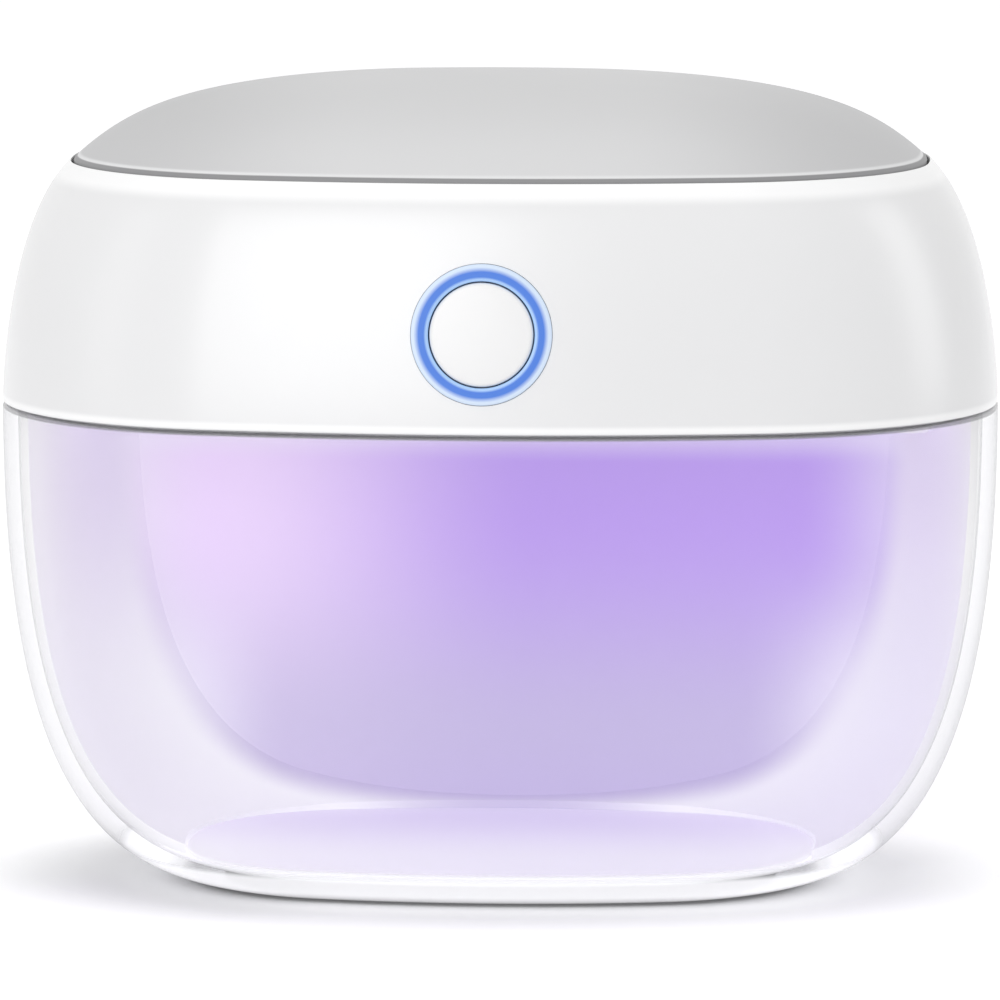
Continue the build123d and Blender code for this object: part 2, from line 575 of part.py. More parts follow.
def top_cover():
    """Grey domed cover that drops into the shoulder's groove and snaps under its ledge."""
    cover = oval_loft(dome_curve(COVER_GAP), COVER_GAP, last=DOME_END)
    cover += inset_slab(COVER_GAP, POCKET_Z + SEAT_GAP, RIM_Z, RIM_HALF)
    cover = fillet([e for e in cover.edges() if abs(e.center().Z - RIM_Z) < SEAT_GAP], FINE_ROUND)
    under = dome_curve(COVER_GAP + COVER_WALL, COVER_WALL)
    cover -= oval_loft(under, COVER_GAP + COVER_WALL, LID_SPANS, DOME_END)
    inset = LEDGE_WIDTH + MOVING_GAP
    foot_z = LEDGE_FOOT_Z - SKIRT_DROP
    cover += inset_ring(inset, inset + SKIRT_THICK, foot_z, RIM_Z + SKIRT_ROOT, RIM_HALF)
    hooks = inset_ring(inset - HOOK_REACH, inset + SKIRT_THICK / 2, foot_z, RIM_Z, RIM_HALF)
    half = HOOK_LENGTH / 2
    for i in range(HOOK_COUNT):
        x, y = oval_point(RIM_HALF, inset, 2 * pi * i / HOOK_COUNT)
        nub = block((x - half, x + half), (y - half, y + half), (foot_z, LEDGE_FOOT_Z - SEAT_GAP))
        cover += nub & hooks
    return cover


def light_ring():
    """Milky ring round the button; behind its flange it runs back as a light guide to the small lamps."""
    hollow = (RING_RADIUS + RING_BORE) / 2, RING_PROUD - RING_GROOVE
    face = ThreePointArc((RING_BORE, RING_PROUD), hollow, (RING_RADIUS, RING_PROUD))
    sides = Polyline(
        (RING_RADIUS, RING_PROUD),
        (RING_RADIUS, -RING_SEAT_DEPTH),
        (RING_FLANGE_RADIUS, -RING_SEAT_DEPTH),
        (RING_FLANGE_RADIUS, GUIDE_BACK),
        (GUIDE_BORE, GUIDE_BACK),
        (GUIDE_BORE, FLANGE_BACK),
        (RING_BORE, FLANGE_BACK),
        (RING_BORE, RING_PROUD),
    )
    ring = turned(face + sides)
    ring -= block((-HALF_WIDTH, HALF_WIDTH), (-HALF_WIDTH, -GUIDE_FLAT), (GUIDE_BACK, -RING_SEAT_DEPTH))
    return BUTTON_PLANE * ring


def button_board():
    """Small circuit board behind the button, with the switch and the ring's lamps."""
    board = Box(BUTTON_BOARD_X, BUTTON_BOARD_Z, BOARD_THICK, align=(Align.CENTER, Align.CENTER, Align.MAX))
    board = chamfer(board.edges().filter_by(Axis.Z), CORNER_CUT)
    for x in (-BUTTON_SCREW_X, BUTTON_SCREW_X):
        board -= rod(BOARD_SCREW_SHANK + SEAT_GAP, -BOARD_THICK - PAST, PAST, x)
    return BUTTON_PLANE * (Pos(0, 0, BUTTON_BOARD_FRONT) * board)


def button_board_screws():
    back = BUTTON_BOARD_FRONT - BOARD_THICK
    return Compound([
        BUTTON_PLANE * (Pos(x, 0, back) * Rot(180, 0, 0) * board_screw())
        for x in (-BUTTON_SCREW_X, BUTTON_SCREW_X)
    ])


def tact_switch():
    """Push switch on the button's board, with a bore for its sprung tip."""
    half = SWITCH_SIZE / 2
    body = block((-half, half), (-half, half), (BUTTON_BOARD_FRONT, SWITCH_FRONT))
    body = chamfer(body.edges().filter_by(Axis.Z), 0.5)
    body -= rod(SWITCH_TIP_RADIUS + RUNNING_GAP, SWITCH_FRONT - SWITCH_BORE, SWITCH_FRONT + PAST)
    return BUTTON_PLANE * body


def ring_lamps():
    """Small surface-mounted lamps on the button's board, each under the light guide."""
    long, wide, high = RING_LAMP
    radius = (GUIDE_BORE + RING_FLANGE_RADIUS) / 2
    lamps = []
    for i in range(RING_LAMP_COUNT):
        angle = 360 * (i + 0.5) / RING_LAMP_COUNT
        x, y = radius * cos(radians(angle)), radius * sin(radians(angle))
        if abs(y) < BUTTON_BOARD_Z / 2 - wide / 2:
            lamp = Pos(x, y, BUTTON_BOARD_FRONT) * Rot(0, 0, angle + 90) * Box(long, wide, high, align=UPWARDS)
            lamps.append(BUTTON_PLANE * lamp)
    return Compound(lamps)


def lid_seal():
    """Soft strip pressed in the groove under the head, open at the hinge, a hair above the bowl's rim."""
    seal = inset_ring(
        SEAL_INSET + SEAT_GAP, SEAL_INSET + SEAL_WIDTH - SEAT_GAP,
        BOWL_RIM_Z + SEAT_GAP, HEAD_FOOT_Z + SEAL_DEPTH - SEAT_GAP
    )
    return seal - cross_rod(SWING_RADIUS + SEAT_GAP, -HINGE_HALF - MOVING_GAP, HINGE_HALF + MOVING_GAP)


def lamp_plate():
    """White plate that closes the head from below, with the lamp window, posts and magnet bosses."""
    plate = inset_slab(PLATE_INSET, PLATE_Z, PLATE_TOP_Z)
    open_length, open_width = WINDOW_LENGTH - 2 * WINDOW_LEDGE, WINDOW_WIDTH - 2 * WINDOW_LEDGE
    plate -= stadium_slab(open_length, open_width, PLATE_Z - PAST, PLATE_TOP_Z + PAST)
    seat = 2 * SEAT_GAP
    plate -= stadium_slab(
        WINDOW_LENGTH + seat, WINDOW_WIDTH + seat, PLATE_TOP_Z - WINDOW_THICK, PLATE_TOP_Z + PAST
    )
    lamp_bore_z = LAMP_BOARD_Z + BOARD_THICK - BOARD_SCREW_LENGTH - MOVING_GAP
    for x in (-LAMP_SCREW_X, LAMP_SCREW_X):
        plate += rod(POST_RADIUS, PLATE_TOP_Z, LAMP_BOARD_Z, x)
        plate -= rod(BOARD_SCREW_SHANK + SEAT_GAP, lamp_bore_z, LAMP_BOARD_Z + PAST, x)
    tray_bore_z = BOARD_TOP_Z - TRAY_SCREW_LENGTH - MOVING_GAP
    for x, y in TRAY_POSTS:
        plate += rod(POST_RADIUS, PLATE_TOP_Z, TRAY_Z, x, y)
        plate -= rod(BOARD_SCREW_SHANK + SEAT_GAP, tray_bore_z, TRAY_Z + PAST, x, y)
    foot = PLATE_Z + MAGNET_FLOOR
    for x, y in MAGNETS:
        plate += rod(MAGNET_RADIUS + SEAT_GAP + MAGNET_BOSS_WALL, PLATE_TOP_Z, foot + MAGNET_THICK, x, y)
        plate -= rod(MAGNET_RADIUS + SEAT_GAP, foot, foot + MAGNET_THICK + PAST, x, y)
    for x, y in PLATE_SCREWS:
        plate -= rod(CASE_SCREW_SHANK + 2 * SEAT_GAP, PLATE_Z - PAST, PLATE_TOP_Z + PAST, x, y)
        plate -= rod(CASE_SCREW_HEAD + 2 * SEAT_GAP, PLATE_Z - PAST, PLATE_Z + CASE_SCREW_HEAD_HEIGHT, x, y)
    return plate


def plate_screws():
    seat = PLATE_Z + CASE_SCREW_HEAD_HEIGHT
    return Compound([Pos(x, y, seat) * Rot(180, 0, 0) * case_screw() for x, y in PLATE_SCREWS])


def lid_magnets():
    foot = PLATE_Z + MAGNET_FLOOR
    return Compound([rod(MAGNET_RADIUS, foot, foot + MAGNET_THICK, x, y) for x, y in MAGNETS])


def lamp_window():
    return stadium_slab(WINDOW_LENGTH, WINDOW_WIDTH, PLATE_TOP_Z - WINDOW_THICK, PLATE_TOP_Z)


def lamp_places():
    return [(i - (LAMP_COUNT - 1) / 2) * LAMP_PITCH for i in range(LAMP_COUNT)]


def lamp_reflector():
    """Bright reflector over the window, with a flared cup round each lamp."""
    body = stadium_slab(REFLECTOR_LENGTH, REFLECTOR_WIDTH, PLATE_TOP_Z, LAMP_BOARD_Z)
    for x in lamp_places():
        cup = Cone(CUP_FOOT_RADIUS, CUP_TOP_RADIUS, REFLECTOR_HEIGHT, align=UPWARDS)
        body -= Pos(x, 0, PLATE_TOP_Z) * cup
    return body


def lamp_board():
    half_x, half_y = LAMP_BOARD_LENGTH / 2, LAMP_BOARD_WIDTH / 2
    board = block((-half_x, half_x), (-half_y, half_y), (LAMP_BOARD_Z, LAMP_BOARD_Z + BOARD_THICK))
    board = chamfer(board.edges().filter_by(Axis.Z), CORNER_CUT)
    for x in (-LAMP_SCREW_X, LAMP_SCREW_X):
        board -= rod(BOARD_SCREW_SHANK + SEAT_GAP, LAMP_BOARD_Z - PAST, LAMP_BOARD_Z + BOARD_THICK + PAST, x)
    return board


def uv_lamps():
    """Ultraviolet lamps under the lamp board: a square ceramic body with a small tapered lens."""
    half = LAMP_SIZE / 2
    foot = LAMP_BOARD_Z - LAMP_HEIGHT
    lamps = []
    for x in lamp_places():
        body = block((x - half, x + half), (-half, half), (foot + LENS_HEIGHT, LAMP_BOARD_Z))
        lens = Pos(x, 0, foot) * Cone(LENS_RADIUS / 2, LENS_RADIUS, LENS_HEIGHT, align=UPWARDS)
        lamps.append(body + lens)
    return Compound(lamps)


def lamp_board_screws():
    top = LAMP_BOARD_Z + BOARD_THICK
    return Compound([Pos(x, 0, top) * board_screw() for x in (-LAMP_SCREW_X, LAMP_SCREW_X)])


def hall_sensor():
    """Magnet sensor that cuts the lamps when the lid opens, on the lamp plate beside a magnet."""
    length, width, height = SENSOR
    x = MAGNET_X - MAGNET_RADIUS - SEAT_GAP - MAGNET_BOSS_WALL - SENSOR_GAP - length / 2
    return Pos(x, MAGNET_Y - SENSOR_OFFSET, PLATE_TOP_Z) * Box(length, width, height, align=UPWARDS)


def battery_tray():
    """Tray on the lamp plate's posts: four walls hold the battery, and four posts carry the board."""
    half_x, half_y = TRAY_LENGTH / 2, TRAY_WIDTH / 2
    tray = block((-half_x, half_x), (TRAY_Y - half_y, TRAY_Y + half_y), (TRAY_Z, TRAY_TOP_Z))
    tray = chamfer(tray.edges().filter_by(Axis.Z), 2 * CORNER_CUT)
    inner_x, inner_y = BATTERY_LENGTH / 2 + MOVING_GAP, BATTERY_WIDTH / 2 + MOVING_GAP
    outer_x, outer_y = inner_x + BATTERY_WALL, inner_y + BATTERY_WALL
    rim_z = (TRAY_TOP_Z, TRAY_TOP_Z + BATTERY_WALL_HEIGHT)
    gap_half = inner_x - BATTERY_GRIP
    rim = block((-outer_x, outer_x), (TRAY_Y - outer_y, TRAY_Y + outer_y), rim_z)
    rim -= block((-inner_x, inner_x), (TRAY_Y - inner_y, TRAY_Y + inner_y), rim_z)
    rim -= block(
        (-gap_half, gap_half), (TRAY_Y - half_y, TRAY_Y + half_y), (TRAY_TOP_Z + BATTERY_SILL, BOARD_Z)
    )
    tray += rim
    for x, y in TRAY_POSTS:
        tray += rod(POST_RADIUS, TRAY_TOP_Z, BOARD_Z, x, y)
        tray -= rod(BOARD_SCREW_SHANK + SEAT_GAP, TRAY_Z - PAST, BOARD_Z + PAST, x, y)
    return tray


def battery():
    half_x, half_y = BATTERY_LENGTH / 2, BATTERY_WIDTH / 2
    top = TRAY_TOP_Z + BATTERY_THICK
    cell = block((-half_x, half_x), (TRAY_Y - half_y, TRAY_Y + half_y), (TRAY_TOP_Z, top))
    return fillet(cell.edges().filter_by(Axis.X), BATTERY_ROUND)


def port_back():
    """Rear end of the charging port: its mouth lies a little inside the shell's rear face."""
    z = BOARD_TOP_Z + PORT_HEIGHT / 2
    return bezier(head_curve(), curve_at(head_curve(), z))[0] * ASPECT - PORT_RECESS


def main_board():
    """Main circuit board; a tongue at its rear carries the charging port out to the shell."""
    half_x, half_y = TRAY_LENGTH / 2, TRAY_WIDTH / 2
    board = block((-half_x, half_x), (TRAY_Y - half_y, TRAY_Y + half_y), (BOARD_Z, BOARD_TOP_Z))
    tongue_back = port_back() - HEAD_WALL - PORT_RECESS
    board += block(
        (-BOARD_TONGUE_HALF, BOARD_TONGUE_HALF), (TRAY_Y, tongue_back), (BOARD_Z, BOARD_TOP_Z)
    )
    board = chamfer(board.edges().filter_by(Axis.Z), CORNER_CUT)
    for x, y in TRAY_POSTS:
        board -= rod(BOARD_SCREW_SHANK + SEAT_GAP, BOARD_Z - PAST, BOARD_TOP_Z + PAST, x, y)
    return board


def board_screws():
    return Compound([Pos(x, y, BOARD_TOP_Z) * board_screw(TRAY_SCREW_LENGTH) for x, y in TRAY_POSTS])


def charge_port():
    """Charging socket: a rounded steel shell with its contact tongue inside."""
    depth = PORT_LENGTH - PORT_BACK_WALL
    shell = extrude(SlotOverall(PORT_WIDTH, PORT_HEIGHT), PORT_LENGTH)
    shell -= extrude(SlotOverall(PORT_WIDTH - 2 * PORT_WALL, PORT_HEIGHT - 2 * PORT_WALL), depth)
    tongue = Pos(0, 0, PORT_BACK_WALL) * Box(*PORT_TONGUE, depth, align=UPWARDS)
    return Pos(0, port_back(), BOARD_TOP_Z + PORT_HEIGHT / 2) * Rot(90, 0, 0) * (shell + tongue)


def control_chips():
    """Charger, controller, lamp driver and coil on the main board."""
    return Compound([
        Pos(x, TRAY_Y + y, BOARD_TOP_Z)
        * chamfer(Box(*size, align=UPWARDS).edges().group_by(Axis.Z)[-1], CHIP_CHAMFER)
        for (x, y), size in CHIPS
    ])


# ---- button: what moves when it is pressed -------------------------------------------------------
def button_cap():
    """White cap with a shallow crown, a flange that holds it behind the ring, and a plunger."""
    top = RING_PROUD + CAP_CROWN
    flat = CAP_RADIUS - FINE_ROUND
    corner = FINE_ROUND * (1 - sin(pi / 4))
    crown_radius = (flat ** 2 + CAP_CROWN ** 2) / (2 * CAP_CROWN)
    middle = top - crown_radius + sqrt(crown_radius ** 2 - (flat / 2) ** 2)
    outline = ThreePointArc((0, top), (flat / 2, middle), (flat, RING_PROUD))
    outline += ThreePointArc(
        (flat, RING_PROUD), (CAP_RADIUS - corner, RING_PROUD - corner), (CAP_RADIUS, RING_PROUD - FINE_ROUND)
    )
    outline += Polyline(
        (CAP_RADIUS, RING_PROUD - FINE_ROUND),
        (CAP_RADIUS, CAP_BACK),
        (CAP_RADIUS + CAP_FLANGE, CAP_BACK),
        (CAP_RADIUS + CAP_FLANGE, CAP_FLANGE_BACK),
        (PLUNGER_RADIUS, CAP_FLANGE_BACK),
        (PLUNGER_RADIUS, TIP_FRONT),
        (0, TIP_FRONT),
        (0, top),
    )
    return BUTTON_PLANE * turned(outline)


def switch_tip():
    """The switch's sprung tip, under the cap's plunger, with its travel free below it."""
    foot = SWITCH_FRONT - SWITCH_BORE + BUTTON_TRAVEL + MOVING_GAP
    return BUTTON_PLANE * rod(SWITCH_TIP_RADIUS, foot, TIP_FRONT)


for build in (
    clear_bowl, chamber_liner, floor_plate, catch_magnets, hinge_bracket, bracket_screws, hinge_pin,
    head_shell, top_cover, light_ring, button_board, button_board_screws, tact_switch, ring_lamps,
    lid_seal, lamp_plate, plate_screws, lid_magnets, lamp_window, lamp_reflector, lamp_board, uv_lamps,
    lamp_board_screws, hall_sensor, battery_tray, battery, main_board, board_screws, charge_port,
    control_chips, button_cap, switch_tip,
):
    save(build(), build.__name__)
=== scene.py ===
from math import atan2, cos, hypot, pi, radians, sin, sqrt

import bmesh
import bpy
from mathutils import Matrix, Vector


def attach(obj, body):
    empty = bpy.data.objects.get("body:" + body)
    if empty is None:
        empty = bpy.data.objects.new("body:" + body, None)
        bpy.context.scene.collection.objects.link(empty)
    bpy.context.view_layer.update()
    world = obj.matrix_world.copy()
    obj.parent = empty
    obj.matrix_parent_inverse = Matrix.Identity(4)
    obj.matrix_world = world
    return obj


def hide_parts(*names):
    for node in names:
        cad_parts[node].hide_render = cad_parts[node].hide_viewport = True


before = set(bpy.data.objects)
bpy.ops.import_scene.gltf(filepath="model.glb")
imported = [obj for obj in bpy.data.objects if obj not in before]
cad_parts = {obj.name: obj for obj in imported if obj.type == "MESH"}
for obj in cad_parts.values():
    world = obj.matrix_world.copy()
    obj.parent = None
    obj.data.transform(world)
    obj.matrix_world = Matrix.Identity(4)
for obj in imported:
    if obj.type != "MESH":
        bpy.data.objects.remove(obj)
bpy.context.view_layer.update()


# ---- Clear bowl -----------------------------------------------------------------------------------
# The bowl is one thin shell of clear plastic, injection moulded, with a flat foot and a rounded rim
# that is notched for the hinge. Light passes through its wall; where the wall turns away it shows as
# a pale grey line. Its foot is given a painted white glow, and painted shade darkens a line just under
# the seam and the bottom where it meets the table. All sizes are in millimetres.
MM = 0.001
CASE_WIDTH = 104.0
CASE_DEPTH = 69.3
HALF_WIDTH, HALF_DEPTH = CASE_WIDTH / 2, CASE_DEPTH / 2
ASPECT = CASE_DEPTH / CASE_WIDTH
END_RADIUS = 67.2        # the plan is an oval of eight tangent arcs: two at the ends,
CORNER_RADIUS = 29.3     # four at the corners,
FRONT_RADIUS = 137.4     # and two along the front and the back
AROUND = 288
CREASE = 32              # degrees at which an edge shows
SEAM_Z = 50.3
BOWL_RIM_Z = SEAM_Z - 0.1
BOWL_UPRIGHT = 24.7
BOWL_WALL = 1.6
BOWL_FLOOR = 1.5
FOOT_HALF = 29.0
FOOT_REACH = 19.9
HINGE_Y, HINGE_Z = HALF_DEPTH + 0.55, SEAM_Z
SWING_RADIUS = 2.9
HINGE_HALF = 15.0
NOTCH_HALF = 9.0
NOTCH_Z = 47.4
NOTCH_FRONT_Y = 25.0
HINGE_PLAY = 0.3
BOWL_EDGE_ROUND = 0.5

END_CENTRE = (HALF_WIDTH - END_RADIUS, 0.0)
FRONT_CENTRE = (0.0, HALF_DEPTH - FRONT_RADIUS)


def corner_centre():
    """Centre of the corner arc that runs into the end's arc and the front's, in the first quarter."""
    across, up = FRONT_CENTRE[0] - END_CENTRE[0], FRONT_CENTRE[1] - END_CENTRE[1]
    to_end, to_front = END_RADIUS - CORNER_RADIUS, FRONT_RADIUS - CORNER_RADIUS
    apart = hypot(across, up)
    along = (to_end ** 2 - to_front ** 2 + apart ** 2) / (2 * apart)
    aside = sqrt(to_end ** 2 - along ** 2)
    return (
        END_CENTRE[0] + (along * across - aside * up) / apart,
        END_CENTRE[1] + (along * up + aside * across) / apart,
    )


CORNER_CENTRE = corner_centre()
END_ANGLE = atan2(CORNER_CENTRE[1] - END_CENTRE[1], CORNER_CENTRE[0] - END_CENTRE[0])
FRONT_ANGLE = atan2(CORNER_CENTRE[1] - FRONT_CENTRE[1], CORNER_CENTRE[0] - FRONT_CENTRE[0])


def oval_point(half_x, inset, angle):
    """Where the wall of an oval this wide faces this way, with the oval drawn in by the inset."""
    c, s = cos(angle), sin(angle)
    facing = atan2(abs(s), abs(c))
    centre, radius = CORNER_CENTRE, CORNER_RADIUS
    if facing < END_ANGLE:
        centre, radius = END_CENTRE, END_RADIUS
    elif facing > FRONT_ANGLE:
        centre, radius = FRONT_CENTRE, FRONT_RADIUS
    scale = half_x / HALF_WIDTH
    reach = radius * scale - inset
    return (
        centre[0] * scale * (1 if c > 0 else -1) + reach * c,
        centre[1] * scale * (1 if s > 0 else -1) + reach * s,
    )


def bezier(points, t):
    """A point of the cubic with these four control points."""
    weights = ((1 - t) ** 3, 3 * (1 - t) ** 2 * t, 3 * (1 - t) * t * t, t ** 3)
    return tuple(sum(w * p[k] for w, p in zip(weights, points)) for k in (0, 1))


def side(curve, inset=0.0, first=0.0, last=1.0, steps=40):
    """Profile points along a curve: the skin's half width, the inset from it, and the height."""
    points = []
    for i in range(steps + 1):
        half_x, z = bezier(curve, first + (last - first) * i / steps)
        points.append((half_x + inset, inset, z))
    return points


def soften(points, radius, own_radii=None, steps=5):
    """The open profile with each corner of over 20 degrees rounded, some with a radius of their own."""
    soft = [points[0]]
    for before, corner, after in zip(points, points[1:], points[2:]):
        arms = [Vector(p) - Vector(corner) for p in (before, after)]
        flat = [Vector((arm.x - arm.y, arm.z)) for arm in arms]
        if min(a.length for a in flat) < 1e-6 or flat[0].angle(-flat[1]) < radians(20):
            soft.append(corner)
            continue
        reach = (own_radii or {}).get(corner, radius)
        ends = [Vector(corner) + arm * min(reach / f.length, 0.5) for arm, f in zip(arms, flat)]
        for i in range(steps + 1):
            t = i / steps
            point = ends[0] * (1 - t) ** 2 + Vector(corner) * 2 * t * (1 - t) + ends[1] * t * t
            soft.append(tuple(point))
    soft.append(points[-1])
    return soft


def make_piece(name, bm):
    """Makes a piece from a mesh in millimetres, smooth but for its real edges."""
    bmesh.ops.remove_doubles(bm, verts=bm.verts, dist=1e-5)
    bmesh.ops.dissolve_degenerate(bm, edges=bm.edges, dist=1e-5)
    bmesh.ops.recalc_face_normals(bm, faces=bm.faces)
    bmesh.ops.scale(bm, vec=(MM, MM, MM), verts=bm.verts)
    mesh = bpy.data.meshes.new(name)
    bm.to_mesh(mesh)
    bm.free()
    for polygon in mesh.polygons:
        polygon.use_smooth = True
    mesh.set_sharp_from_angle(angle=radians(CREASE))
    piece = bpy.data.objects.new(name, mesh)
    bpy.context.scene.collection.objects.link(piece)
    return piece


def join_rings(bm, rings):
    """Faces between each ring of points and the next."""
    for low, high in zip(rings, rings[1:]):
        for j in range(len(low)):
            k = (j + 1) % len(low)
            bm.faces.new((low[j], low[k], high[k], high[j]))


def oval_skin(name, profile, closed=False, around=AROUND):
    """Skin through level ovals, one for each profile point; closed profiles run round to their start."""
    bm = bmesh.new()
    angles = [2 * pi * (j + 0.5) / around for j in range(around)]
    rings = [[bm.verts.new((*oval_point(outer, inset, a), z)) for a in angles] for outer, inset, z in profile]
    join_rings(bm, rings + rings[:1] if closed else rings)
    return make_piece(name, bm)


def rod(radius, start, end, tip=None, around=64):
    """Closed cylinder between two points, or cone to another radius, to be cut away or joined on."""
    start, end = Vector(start), Vector(end)
    bm = bmesh.new()
    bmesh.ops.create_cone(
        bm, cap_ends=True, segments=around, radius1=radius, radius2=radius if tip is None else tip,
        depth=(end - start).length,
    )
    turn = (end - start).to_track_quat("Z", "Y").to_matrix().to_4x4()
    bmesh.ops.transform(bm, matrix=Matrix.Translation((start + end) / 2) @ turn, verts=bm.verts)
    return make_piece("rod", bm)


def block(low, high):
    """Closed box between two corners, to be cut away or joined on."""
    bm = bmesh.new()
    bmesh.ops.create_cube(bm, size=1.0)
    bmesh.ops.scale(bm, vec=[b - a for a, b in zip(low, high)], verts=bm.verts)
    bmesh.ops.translate(bm, vec=[(a + b) / 2 for a, b in zip(low, high)], verts=bm.verts)
    return make_piece("block", bm)


def combine(piece, tools, operation="DIFFERENCE"):
    """Cuts the tools from the piece, or joins them to it, and removes them."""
    for tool in tools:
        modifier = piece.modifiers.new("combine", "BOOLEAN")
        modifier.operation = operation
        modifier.solver = "EXACT"
        modifier.object = tool
    view = bpy.context.evaluated_depsgraph_get()
    mesh = bpy.data.meshes.new_from_object(piece.evaluated_get(view))
    piece.modifiers.clear()
    piece.data = mesh
    for tool in tools:
        bpy.data.objects.remove(tool)
    for polygon in mesh.polygons:
        polygon.use_smooth = True
    mesh.set_sharp_from_angle(angle=radians(CREASE))
    return piece


def bowl_curve(inset=0.0, floor_z=0.0):
    """Side profile of the bowl from its foot to its rim, or of a surface inside it."""
    return (
        (FOOT_HALF - inset, floor_z),
        (FOOT_HALF + FOOT_REACH - inset, floor_z),
        (HALF_WIDTH - inset, BOWL_RIM_Z - BOWL_UPRIGHT),
        (HALF_WIDTH - inset, BOWL_RIM_Z),
    )


bowl_outside = side(bowl_curve())
bowl_inside = side(bowl_curve(BOWL_WALL, BOWL_FLOOR), BOWL_WALL)
bowl_rim = soften([*bowl_outside, *reversed(bowl_inside)], BOWL_EDGE_ROUND)
bowl = oval_skin("bowl", [(0, 0, 0), *bowl_rim, (0, 0, BOWL_FLOOR)])
hinge_end = HINGE_HALF + HINGE_PLAY
combine(bowl, [
    rod(SWING_RADIUS, (-hinge_end, HINGE_Y, HINGE_Z), (hinge_end, HINGE_Y, HINGE_Z)),
    block((-NOTCH_HALF, NOTCH_FRONT_Y, NOTCH_Z), (NOTCH_HALF, HINGE_Y, BOWL_RIM_Z + 1)),
])


class Wire:
    """An output socket that takes part in Python sums; each sum adds a Math node."""

    def __init__(self, nodes, socket):
        self.nodes, self.socket = nodes, socket

    def sum(self, operation, *terms):
        return self.nodes.node("Math", {"operation": operation}, dict(enumerate(terms)))

    def __add__(self, other):
        return self.sum("ADD", self, other)

    def __sub__(self, other):
        return self.sum("SUBTRACT", self, other)

    def __rsub__(self, other):
        return self.sum("SUBTRACT", other, self)

    def __mul__(self, other):
        return self.sum("MULTIPLY", self, other)

    def __truediv__(self, other):
        return self.sum("DIVIDE", self, other)

    def __pow__(self, other):
        return self.sum("POWER", self, other)

    __radd__, __rmul__ = __add__, __mul__


class Nodes:
    """A node tree under construction."""

    def __init__(self, tree):
        self.tree = tree
        tree.nodes.clear()

    def node(self, kind, settings=None, sockets=None, output=0):
        """Adds a node, sets its settings and then its sockets, and gives one of its outputs."""
        node = self.tree.nodes.new("ShaderNode" + kind)
        for key, value in (settings or {}).items():
            if key == "stops":
                elements = node.color_ramp.elements
                while len(elements) < len(value):
                    elements.new(1.0)
                for element, (place, colour) in zip(elements, value):
                    element.position = place
                    element.color = (*colour, 1.0)
            elif key == "blend_between":
                node.color_ramp.interpolation = value
            else:
                setattr(node, key, value)
        for key, value in (sockets or {}).items():
            if isinstance(value, Wire):
                self.tree.links.new(value.socket, node.inputs[key])
            else:
                node.inputs[key].default_value = value
        return Wire(self, node.outputs[output]) if node.outputs else None

    def larger(self, first, second):
        return self.node("Math", {"operation": "MAXIMUM"}, {0: first, 1: second})

    def unsigned(self, value):
        return self.node("Math", {"operation": "ABSOLUTE"}, {0: value})


class Finish(Nodes):
    """A material under construction."""

    def __init__(self, name):
        self.data = bpy.data.materials.new(name)
        self.data.use_nodes = True
        super().__init__(self.data.node_tree)

    def place(self):
        """The point on the piece at rest, in metres, as x, y and z."""
        point = self.node("TexCoord", output=3)
        return [self.node("SeparateXYZ", sockets={0: point}, output=i) for i in range(3)]

    def noise(self, scale, detail=2.0, stretch=(1, 1, 1)):
        point = self.node("Mapping", sockets={0: self.node("TexCoord", output=3), 3: stretch})
        return self.node("TexNoise", sockets={"Vector": point, "Scale": scale, "Detail": detail})

    def blend(self, amount, low, high):
        """Mixes two colours, or links of them."""
        ends = [c if isinstance(c, Wire) else (*c, 1.0) for c in (low, high)]
        return self.node("Mix", {"data_type": "RGBA"}, {0: amount, 6: ends[0], 7: ends[1]}, output=2)

    def between(self, value, low, high, smooth=True):
        """0 at low and 1 at high, level beyond them, whichever of the two is the greater."""
        kind = "SMOOTHSTEP" if smooth else "LINEAR"
        return self.node("MapRange", {"interpolation_type": kind}, {0: value, 1: low, 2: high})

    def bump(self, height, strength, distance):
        return self.node("Bump", sockets={"Height": height, "Strength": strength, "Distance": distance})

    def surface(self, shader):
        self.node("OutputMaterial", sockets={"Surface": shader})
        return self.data

    def plain(self, **sockets):
        """Ends the material in one Principled shader; base_color=... sets its Base Color, and so on."""
        named = {}
        for key, value in sockets.items():
            colour = isinstance(value, tuple) and len(value) == 3
            named[key.replace("_", " ").title().replace("Ior", "IOR")] = (*value, 1.0) if colour else value
        return self.surface(self.node("BsdfPrincipled", sockets=named))


def dress(piece, material, body, slot, *nodes):
    """Gives a piece its material, its body, and the CAD nodes that it stands for, which it hides. The slot is
    not used.
    """
    piece.data.materials.clear()
    piece.data.materials.append(material)
    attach(piece, body)
    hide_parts(*nodes)
    return piece


CLEAR_TINT = (0.985, 0.985, 0.99, 1.0)
GLOSS_WHITE = (0.90, 0.90, 0.91, 1.0)
# The foot's white is a painted glow.
FOOT_PAINTED_GLOW = (0.90, 0.90, 0.92)
FOOT_PAINTED_LIGHT = 0.42
LINE_GREY = (0.38, 0.38, 0.40)
# Dark grey of the painted shade under the seam and along the bottom edge.
PAINTED_SHADOW_GREY = (0.15, 0.15, 0.16)

clear = Finish("clear_plastic")
facing = clear.node("LayerWeight", sockets={"Blend": 0.5}, output=1)
z = clear.place()[2]
# The foot is made more opaque and given a painted white glow.
in_foot = clear.between(z, 4.0 * MM, 2.9 * MM)
